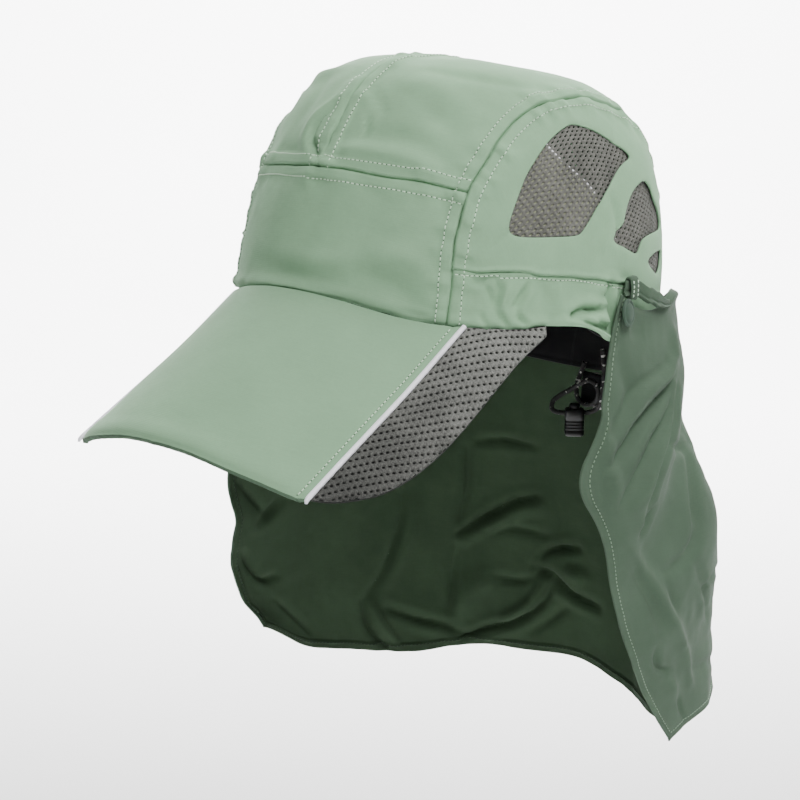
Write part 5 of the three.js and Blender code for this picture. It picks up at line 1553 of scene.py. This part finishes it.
def flap_detail():
    """Height of the cloth over the flap's broad shape."""
    s = np.interp(FU, fu, FLAT_S)
    t = np.interp(FV, fv, FLAT_T)
    q = np.stack([s, t], -1).reshape(-1, 2)
    h = np.zeros(len(q))
    for c in FLAP_CREASES:
        g = np.array(c['pts'], float)
        m = np.stack([np.interp(g[:, 0], fu, FLAT_S), np.interp(g[:, 1], fv, FLAT_T)], -1)
        if len(m) > 2:
            m = curve(m)(np.linspace(0, 1, 40))
        k = np.where(np.all((q > m.min(0) - 30) & (q < m.max(0) + 30), axis=1))[0]
        if not len(k):
            continue
        d, at = polyline_dist(q[k], m, 1.2)
        taper = np.sin(np.pi * np.clip(0.1 + 0.8 * at, 0, 1)) ** 0.7
        prof = np.exp(-np.abs(d) / c['w']) if c['sharp'] else np.exp(-(d / c['w']) ** 2)
        if c['sharp']:
            prof = prof - 0.3 * np.exp(-((d - 2.4 * c['w']) / (1.6 * c['w'])) ** 2)
        h[k] += (1.45 if g[:, 0].max() < 0.3 and g[:, 1].min() > 0.45 else 1.8) * c['a'] * prof * taper
    h = h.reshape(FU.shape)
    stretched = FP * np.array([1, 1, 0.55])
    broad = 1.5 * noise(stretched, 30, 81) + 0.7 * noise(stretched, 13, 82) + 0.25 * noise(FP, 6, 83) + 0.08 * noise(FP, 2.8, 84)
    edge = np.minimum(np.minimum(S0, S1), T1)
    h += broad * smooth(-4, 22, T0) * (0.85 + 0.15 * smooth(0, 16, edge))
    # hem: a turned edge with its stitch line and small gathers
    along = np.where(T1 < np.minimum(S0, S1), s, t)
    line = np.stack([along, 0 * along, 0 * along], -1)
    gather = np.exp(-((edge - HEM) / 4.5) ** 2)
    h += gather * (0.30 * noise(line, 5.0, 85) + 0.30 * noise(line, 11.0, 86))
    h += 0.28 * (1 - smooth(HEM - 0.3, HEM + 0.6, edge)) - 0.35 * np.exp(-((edge - HEM + 0.9) / 0.6) ** 2)
    return h, edge


FAR_DENT = 0.63        # where the far hem turns in, as a share of the drop


def flap_points():
    P, N = FP, FN
    h, edge = flap_detail()
    P = P + N * h[..., None]
    # the band of cloth along the top rolls outwards behind the snap
    top = np.exp(-((T0 - 2.6) / 2.6) ** 2) - 0.9 * np.exp(-(T0 / 1.1) ** 2)
    side = np.minimum(FU, 1 - FU)
    P = P + N * (top * (0.3 * smooth(0.04, 0.09, side) + 1.5 * smooth(0.155, 0.2, side)))[..., None]
    wave = np.exp(-((1 - FU) / 0.05) ** 2) * (1.9 * noise(np.stack([FV * 215, 0 * FV, 0 * FV], -1), 21, 87) - 3.4 * np.exp(-((FV - FAR_DENT) / 0.05) ** 2))
    P = P - wave[..., None] * np.array([RIGHT.x, RIGHT.y, 0])
    return P, edge


P, FEDGE = flap_points()
V = P.reshape(-1, 3)
F = grid_faces(P.shape[1] - 1, P.shape[0] - 1)
if np.mean(np.sum(normals_of(V, F) * FN.reshape(-1, 3), -1)) < 0:
    F = F[:, ::-1].copy()
thick = (0.75 + 0.55 * (1 - smooth(HEM - 0.3, HEM + 0.5, FEDGE))).ravel()
uv = np.stack([np.broadcast_to(FLAT_S[None], FU.shape), np.broadcast_to(FLAT_T[:, None], FU.shape)], -1).reshape(-1, 2)
FLAP_V, FLAP_F = V, F
FLAP_N = normals_of(V, F)
VV, FF, UV = close_sheet(V, F, thick, uv)
nf = len(FLAP_F)
# the flap's inner faces take the painted-shade copy of its cloth
flap_piece = obj_from('neck_flap_cloth', VV, FF, [M_FLAP, M_FLAP_IN_SHADE], uv=UV, replaces=('neck_flap',),
                      index=[0] * nf + [1] * nf + [0] * (len(FF) - 2 * nf))

# ---------------------------------------------------- strips, loops and snaps --
STRIP = [(93.5, 25.6), (97, 25.2), (99, 24.4), (103, 20.9), (108, 18), (113, 16.5), (117, 16.2)]
STRIP_OUT = [(93.5, 3), (97, 3), (99, 3.8), (103, 6.6), (108, 7.2), (117, 7.2)]
STRIP_H = 6.6
stitch_paths = []       # (points, offset side, which surface)


def strip_points(U, W, sign, extra=0.0):
    p = lerp(STRIP[0][0], STRIP[-1][0], U)
    P = crown_h(p, h_for(p, table(STRIP, p) + STRIP_H * W * (1 - 0.6 * smooth(107, 117, p)))) + out_dir(p) * (table(STRIP_OUT, p) + extra)[..., None]
    return P * np.array([sign, 1, 1])


for sign, side in ((1, 'left'), (-1, 'right')):
    U, W = np.meshgrid(np.linspace(0, 1, 90), np.linspace(0, 1, 19))
    P = strip_points(U, W, sign)
    o = out_dir(lerp(STRIP[0][0], STRIP[-1][0], U)) * np.array([sign, 1, 1])
    roll = 0.9 * np.exp(-((W - 0.13) / 0.11) ** 2) - 0.4 * np.exp(-((W - 0.32) / 0.06) ** 2) - 0.7 * np.exp(-(W / 0.03) ** 2) - 0.5 * np.exp(-((1 - W) / 0.04) ** 2)
    P = P + o * (roll + 0.25 * noise(P, 9, 91))[..., None]
    cloth_piece(f'flap_strip_cloth_{side}', P, M_FLAP, (f'flap_strip_{side}',), t=0.9, keep=True, moved=None)

LOOP = dict(phi=96.6, z=28.4, half=5.2, length=5.6, wall=0.9, room=1.15)


def loop_band(sign, side):
    p = LOOP['phi']
    out = out_dir(np.array(p))
    along = np.array([-out[1], out[0], 0.0])
    at = crown_h(np.array(p), h_for(np.array(p), np.array(LOOP['z']))) + out * 2.6
    n, m = 56, 12
    U, W = np.meshgrid(np.linspace(0, 1, n, endpoint=False), np.linspace(0, 1, m))
    w, h = LOOP['room'] + LOOP['wall'], LOOP['half']
    s = superellipse(w, h, n, 3.2)
    taper = 1 - 0.10 * (2 * np.abs(W - 0.5)) ** 6
    x = s[:, 0][None] * taper + 0.12 * np.sin(W * np.pi)
    z = s[:, 1][None] * (taper * (1 - 0.10 * W)) + 0.5 * W
    d = (W - 0.5) * LOOP['length']
    P = at + x[..., None] * out + z[..., None] * np.array([0, 0, 1.0]) - d[..., None] * along
    P = P + 0.10 * noise(P, 2.5, 95)[..., None] * out
    P = P * np.array([sign, 1, 1])
    V = P.reshape(-1, 3)
    F = grid_faces(n, m - 1, True)
    F = face_out(V, F, V.mean(0))
    VV, FF, UV = close_sheet(V, F, LOOP['wall'], np.stack([U * 20, W * 5.6], -1).reshape(-1, 2))
    keep_for_stitches(V, F)
    obj_from(f'loop_tab_cloth_{side}', VV, FF, M_FLAP, uv=UV, replaces=(f'loop_tab_{side}',))
    lines = []
    for k in (0.2, 0.8):
        lines.append(np.array([(at + out * (w + 0.1) + np.array([0, 0, zz]) - (k - 0.5) * LOOP['length'] * along) * np.array([sign, 1, 1])
                               for zz in np.linspace(-3.8, 3.8, 6)]))
    return lines


loop_lines = loop_band(1, 'left') + loop_band(-1, 'right')

SNAP = [(0, 0.0), (2.0, 0.0), (4.0, 0.02), (5.1, 0.05), (5.55, 0.3), (5.8, 0.75), (5.72, 1.15), (5.45, 1.45), (5.0, 1.55),
        (4.55, 1.42), (4.3, 1.25), (4.1, 1.3), (3.7, 1.75), (3.0, 2.05), (2.0, 2.2), (1.0, 2.28), (0.0, 2.3)]


def snap_at(u, v):
    e, s = 0.03, 0.02
    f = lambda a, b: flap_surface(np.array(a), np.array(b))[0]
    n = unit(np.cross(f(u + e, v + s) - f(u - e, v + s), f(u, v + 2 * s) - f(u, v)))
    P = f(u, v)
    if n[0] * P[0] + n[1] * P[1] < 0:
        n = -n
    a = math.radians(14)
    if P[0] < 0:
        a = -a
    n = np.array([n[0] * math.cos(a) - n[1] * math.sin(a), n[0] * math.sin(a) + n[1] * math.cos(a), n[2]])
    return P + n * 1.0, n


def stud(side, u, v):
    at, d = snap_at(u, v)
    a = unit(np.cross(d, (0, 0, 1.0)))
    b = np.cross(d, a)
    n = 72
    t = np.linspace(0, 2 * np.pi, n, endpoint=False)
    rings = []
    for r, z in SNAP[1:-1]:
        rings.append(at + d * z + r * (np.cos(t)[:, None] * a + np.sin(t)[:, None] * b))
    V, F = loft(rings, cap=True)
    ob = obj_from(f'press_stud_{side}', V, F, M_SNAP, replaces=(f'snap_{side}',))
    return at, d


SN_L = stud('left', 0.036, 0.024)
SN_R = stud('right', 0.964, 0.024)


# ------------------------------------------------------- tab and blank tag --
def slab(name, size, at, turn, mat, replaces, ribs=0.0, curl=0.0):
    w, d, h = size
    nu, nv = 26, 30
    U, W = np.meshgrid(np.linspace(-0.5, 0.5, nu), np.linspace(-0.5, 0.5, nv))
    x, z = U * w, W * h
    yy = -d / 2 + curl * (W + 0.5) ** 2 + ribs * np.sin(W * h * 2 * np.pi / 1.1) + 0.12 * noise(np.stack([x, z, 0 * x], -1), 5, 97)
    X = x * math.cos(turn) + z * math.sin(turn)
    Z = -x * math.sin(turn) + z * math.cos(turn)
    P = np.stack([X + at[0], yy + at[1], Z + at[2]], -1)
    V = P.reshape(-1, 3)
    F = grid_faces(nu - 1, nv - 1)
    F = face_out(V, F, (at[0], at[1] + 50, at[2]))
    VV, FF, UV = close_sheet(V, F, d, np.stack([x, z], -1).reshape(-1, 2))
    return obj_from(name, VV, FF, mat, uv=UV, replaces=replaces)


slab('adjuster_webbing', (13, 1.4, 14.6), (15.4, 79.8, -39.9), 0.08, M_TAPE, ('adjuster_tab',), ribs=0.12)
slab('tag_tape', (16, 0.5, 17), (21.5, 81.5, -40.4), -0.06, M_TAG, ('care_tag',), curl=0.5)

# ---------------------------------------------------------------- stitching --
_bv = np.vstack([v for v, _ in bvh_parts])
_bf = [f for _, fs in bvh_parts for f in fs]
CROWN_BVH = BVHTree.FromPolygons([Vector(p) for p in _bv], _bf)
FLAP_OUT = BVHTree.FromPolygons([Vector(p) for p in FLAP_V], [tuple(int(i) for i in f) for f in FLAP_F])
_inner = FLAP_V - FLAP_N * thick[:, None]
FLAP_IN = BVHTree.FromPolygons([Vector(p) for p in _inner], [tuple(int(i) for i in f[::-1]) for f in FLAP_F])


def stitch_row(path, tree, pitch=2.05, length=1.40, r=0.25, away=None, start=0.4, reach=6.0):
    """Thread dashes along a path laid on a surface, with a dark bead between each pair that paints the shade of the
    needle hole.
    """
    d = np.concatenate([[0], np.cumsum(np.linalg.norm(np.diff(path, axis=0), axis=1))])
    at = np.arange(start, d[-1] - pitch * 0.5, pitch)
    C = np.stack([np.interp(at + length / 2, d, path[:, k]) for k in range(3)], -1)
    T = unit(np.stack([np.interp(at + length, d, path[:, k]) - np.interp(at, d, path[:, k]) for k in range(3)], -1))
    TV, TF, HV, HF = [], [], [], []
    ang = np.linspace(0, 2 * np.pi, 6, endpoint=False)
    prof = [(-0.5, 0.35, -0.10), (-0.36, 0.9, 0.03), (0.0, 1.0, 0.10), (0.36, 0.9, 0.03), (0.5, 0.35, -0.10)]
    for c, t in zip(C, T):
        hit = tree.find_nearest(Vector(c), reach)
        if hit[0] is None:
            continue
        p, n = np.array(hit[0]), np.array(hit[1])
        if away is not None and np.dot(n, away(p)) < 0:
            n = -n
        t = unit(t - n * np.dot(t, n))
        b = np.cross(n, t)
        base = len(TV) * 30
        ring = []
        for s, k, z in prof:
            q = p + t * (s * length) + n * (z + 0.02)
            ring.append(q + (np.cos(ang)[:, None] * b + np.sin(ang)[:, None] * n * 0.85) * (r * k))
        TV.append(np.vstack(ring))
        for m in range(4):
            for i in range(6):
                j = (i + 1) % 6
                TF.append((base + m * 6 + i, base + m * 6 + j, base + (m + 1) * 6 + j, base + (m + 1) * 6 + i))
        TF.append(tuple(base + i for i in range(6))[::-1])
        TF.append(tuple(base + 24 + i for i in range(6)))
        # a small dark bead at the needle hole, painted shade
        hb = len(HV) * 6
        g = p + t * (pitch / 2)
        hh = tree.find_nearest(Vector(g), reach)
        if hh[0] is not None:
            g = np.array(hh[0])
        HV.append(np.array([g + t * 0.40, g + b * 0.30, g - t * 0.40, g - b * 0.30, g + n * 0.07, g - n * 0.1]))
        HF += [(hb, hb + 1, hb + 4), (hb + 1, hb + 2, hb + 4), (hb + 2, hb + 3, hb + 4), (hb + 3, hb, hb + 4),
               (hb + 1, hb, hb + 5), (hb + 2, hb + 1, hb + 5), (hb + 3, hb + 2, hb + 5), (hb, hb + 3, hb + 5)]
    if not TV:
        return None
    TV, HV = np.vstack(TV), np.vstack(HV)
    V = np.vstack([TV, HV])
    return V, TF + [tuple(i + len(TV) for i in f) for f in HF], [0] * len(TF) + [1] * len(HF)


def join_rows(name, rows, thread=None):
    V, F, I = np.zeros((0, 3)), [], []
    for row in rows:
        if row is None:
            continue
        v, f, i = row
        F += [tuple(a + len(V) for a in q) for q in f]
        I += i
        V = np.vstack([V, v])
    return obj_from(name, V, F, [thread or M_THREAD, M_HOLE_SHADE], uv=V[:, :2].copy(), index=I)


up = lambda p: p - np.array([0, 0, 20.0])
rows = []
for name, seam in SEAMS.items():
    if seam.kind == 'flat':
        for s in (-1, 1):
            rows.append(stitch_row(seam.P + seam.B * (s * seam.w), CROWN_BVH, away=up))
    else:
        s = -1 if seam.B[0, 2] > 0 else 1
        rows.append(stitch_row(seam.P + seam.B * (s * seam.w), CROWN_BVH, away=up))
for L in loop_lines:
    rows.append(stitch_row(L, CROWN_BVH, pitch=1.9, length=1.3, away=up))
join_rows('crown_stitching', rows)

rows = []
for sign in (1, -1):
    y = np.linspace(float(foot(np.array(foot_phi(62.3)))[1]) - 1.0, -162.6, 60)
    x = np.full(60, sign * 62.3)
    path = np.stack([x, y, brim_z(x, y)], -1)
    rows.append(stitch_row(path, CROWN_BVH, away=lambda p: np.array([0, 0, 1.0])))
join_rows('peak_stitching', rows)

i0 = int(np.argmin(np.abs(S0[len(fv) // 2] - (HEM - 0.9))))
i1 = int(np.argmin(np.abs(S1[len(fv) // 2] - (HEM - 0.9))))
j1 = int(np.argmin(np.abs(T1[:, len(fu) // 2] - (HEM - 0.9))))
_in = _inner.reshape(FP.shape)
_out = FLAP_V.reshape(FP.shape)


def outward(p):
    return np.array([p[0], p[1] - 10.0, 0.0])


def inward(p):
    return -outward(p)


# the inner rows use the painted-shade thread
for name, grid, tree, away, thread in (('outer', _out, FLAP_OUT, outward, M_THREAD_FLAP), ('inner', _in, FLAP_IN, inward, M_THREAD_IN_SHADE)):
    rows = [stitch_row(line, tree, away=away) for line in (grid[:j1 + 1, i0], grid[:j1 + 1, i1], grid[j1, i0:i1 + 1])]
    join_rows(f'flap_hem_stitching_{name}', rows, thread)

# --------------------------------------------------------- floor and lights --
def backdrop():
    """Pale floor that sweeps up into a wall behind."""
    prof = [(-4.0, 0.0), (2.0, 0.0)] + [(2.0 + 1.2 * math.sin(a), 1.2 - 1.2 * math.cos(a)) for a in np.linspace(0.1, math.pi / 2, 12)] + [(3.2, 6.0)]
    V, F = [], []
    for y, z in prof:
        for x in (-6, 6):
            p = RIGHT * x + Vector((-BACK.x, -BACK.y, 0)).normalized() * y + Vector((0, 0, z - 0.55))
            V.append(tuple(p))
    for k in range(len(prof) - 1):
        F.append((2 * k, 2 * k + 1, 2 * k + 3, 2 * k + 2))
    me = bpy.data.meshes.new('studio_floor')
    me.from_pydata(V, [], F)
    me.polygons.foreach_set('use_smooth', [True] * len(me.polygons))
    m, t, b = material('pale_floor')
    tc = node(t, 'ShaderNodeTexCoord')
    n = node(t, 'ShaderNodeTexNoise', Scale=3.0, Detail=2.0)
    t.links.new(tc.outputs['Object'], n.inputs['Vector'])
    t.links.new(ramp(t, n.outputs['Fac'], [(0.3, (0.86, 0.86, 0.86)), (0.7, (0.88, 0.88, 0.88))]), b.inputs['Base Color'])
    b.inputs['Roughness'].default_value = 0.9
    me.materials.append(m)
    ob = bpy.data.objects.new('studio_floor', me)
    bpy.context.collection.objects.link(ob)


backdrop()


def area(name, at, aim, size, power, color=(1, 1, 1)):
    li = bpy.data.lights.new(name, 'AREA')
    li.shape, li.size, li.energy, li.color = 'SQUARE', size, power, color
    ob = bpy.data.objects.new(name, li)
    bpy.context.collection.objects.link(ob)
    d = (Vector(aim) - Vector(at)).normalized()
    ob.matrix_world = Matrix.Translation(at) @ d.to_track_quat('-Z', 'Y').to_matrix().to_4x4()
    return ob


def lit(r, b, z):
    """A place given by how far right of, in front of and above the object it is, seen from the camera."""
    f = Vector((BACK.x, BACK.y, 0)).normalized()
    return RIGHT * r + f * b + Vector((0, 0, z))


area('key', lit(0.6, 1.6, 2.0), (0, 0, 0.02), 0.9, 82)
area('top', lit(1.0, -0.3, 2.0), (0, 0, 0), 1.0, 46)
area('wall_light', lit(0, -1.4, 2.2), tuple(lit(0, -6.0, 1.0)), 2.4, 900)
world = bpy.data.worlds.new('studio')
world.use_nodes = True
world.node_tree.nodes['Background'].inputs[0].default_value = (1, 1, 1, 1)
world.node_tree.nodes['Background'].inputs[1].default_value = 0.22
bpy.context.scene.world = world
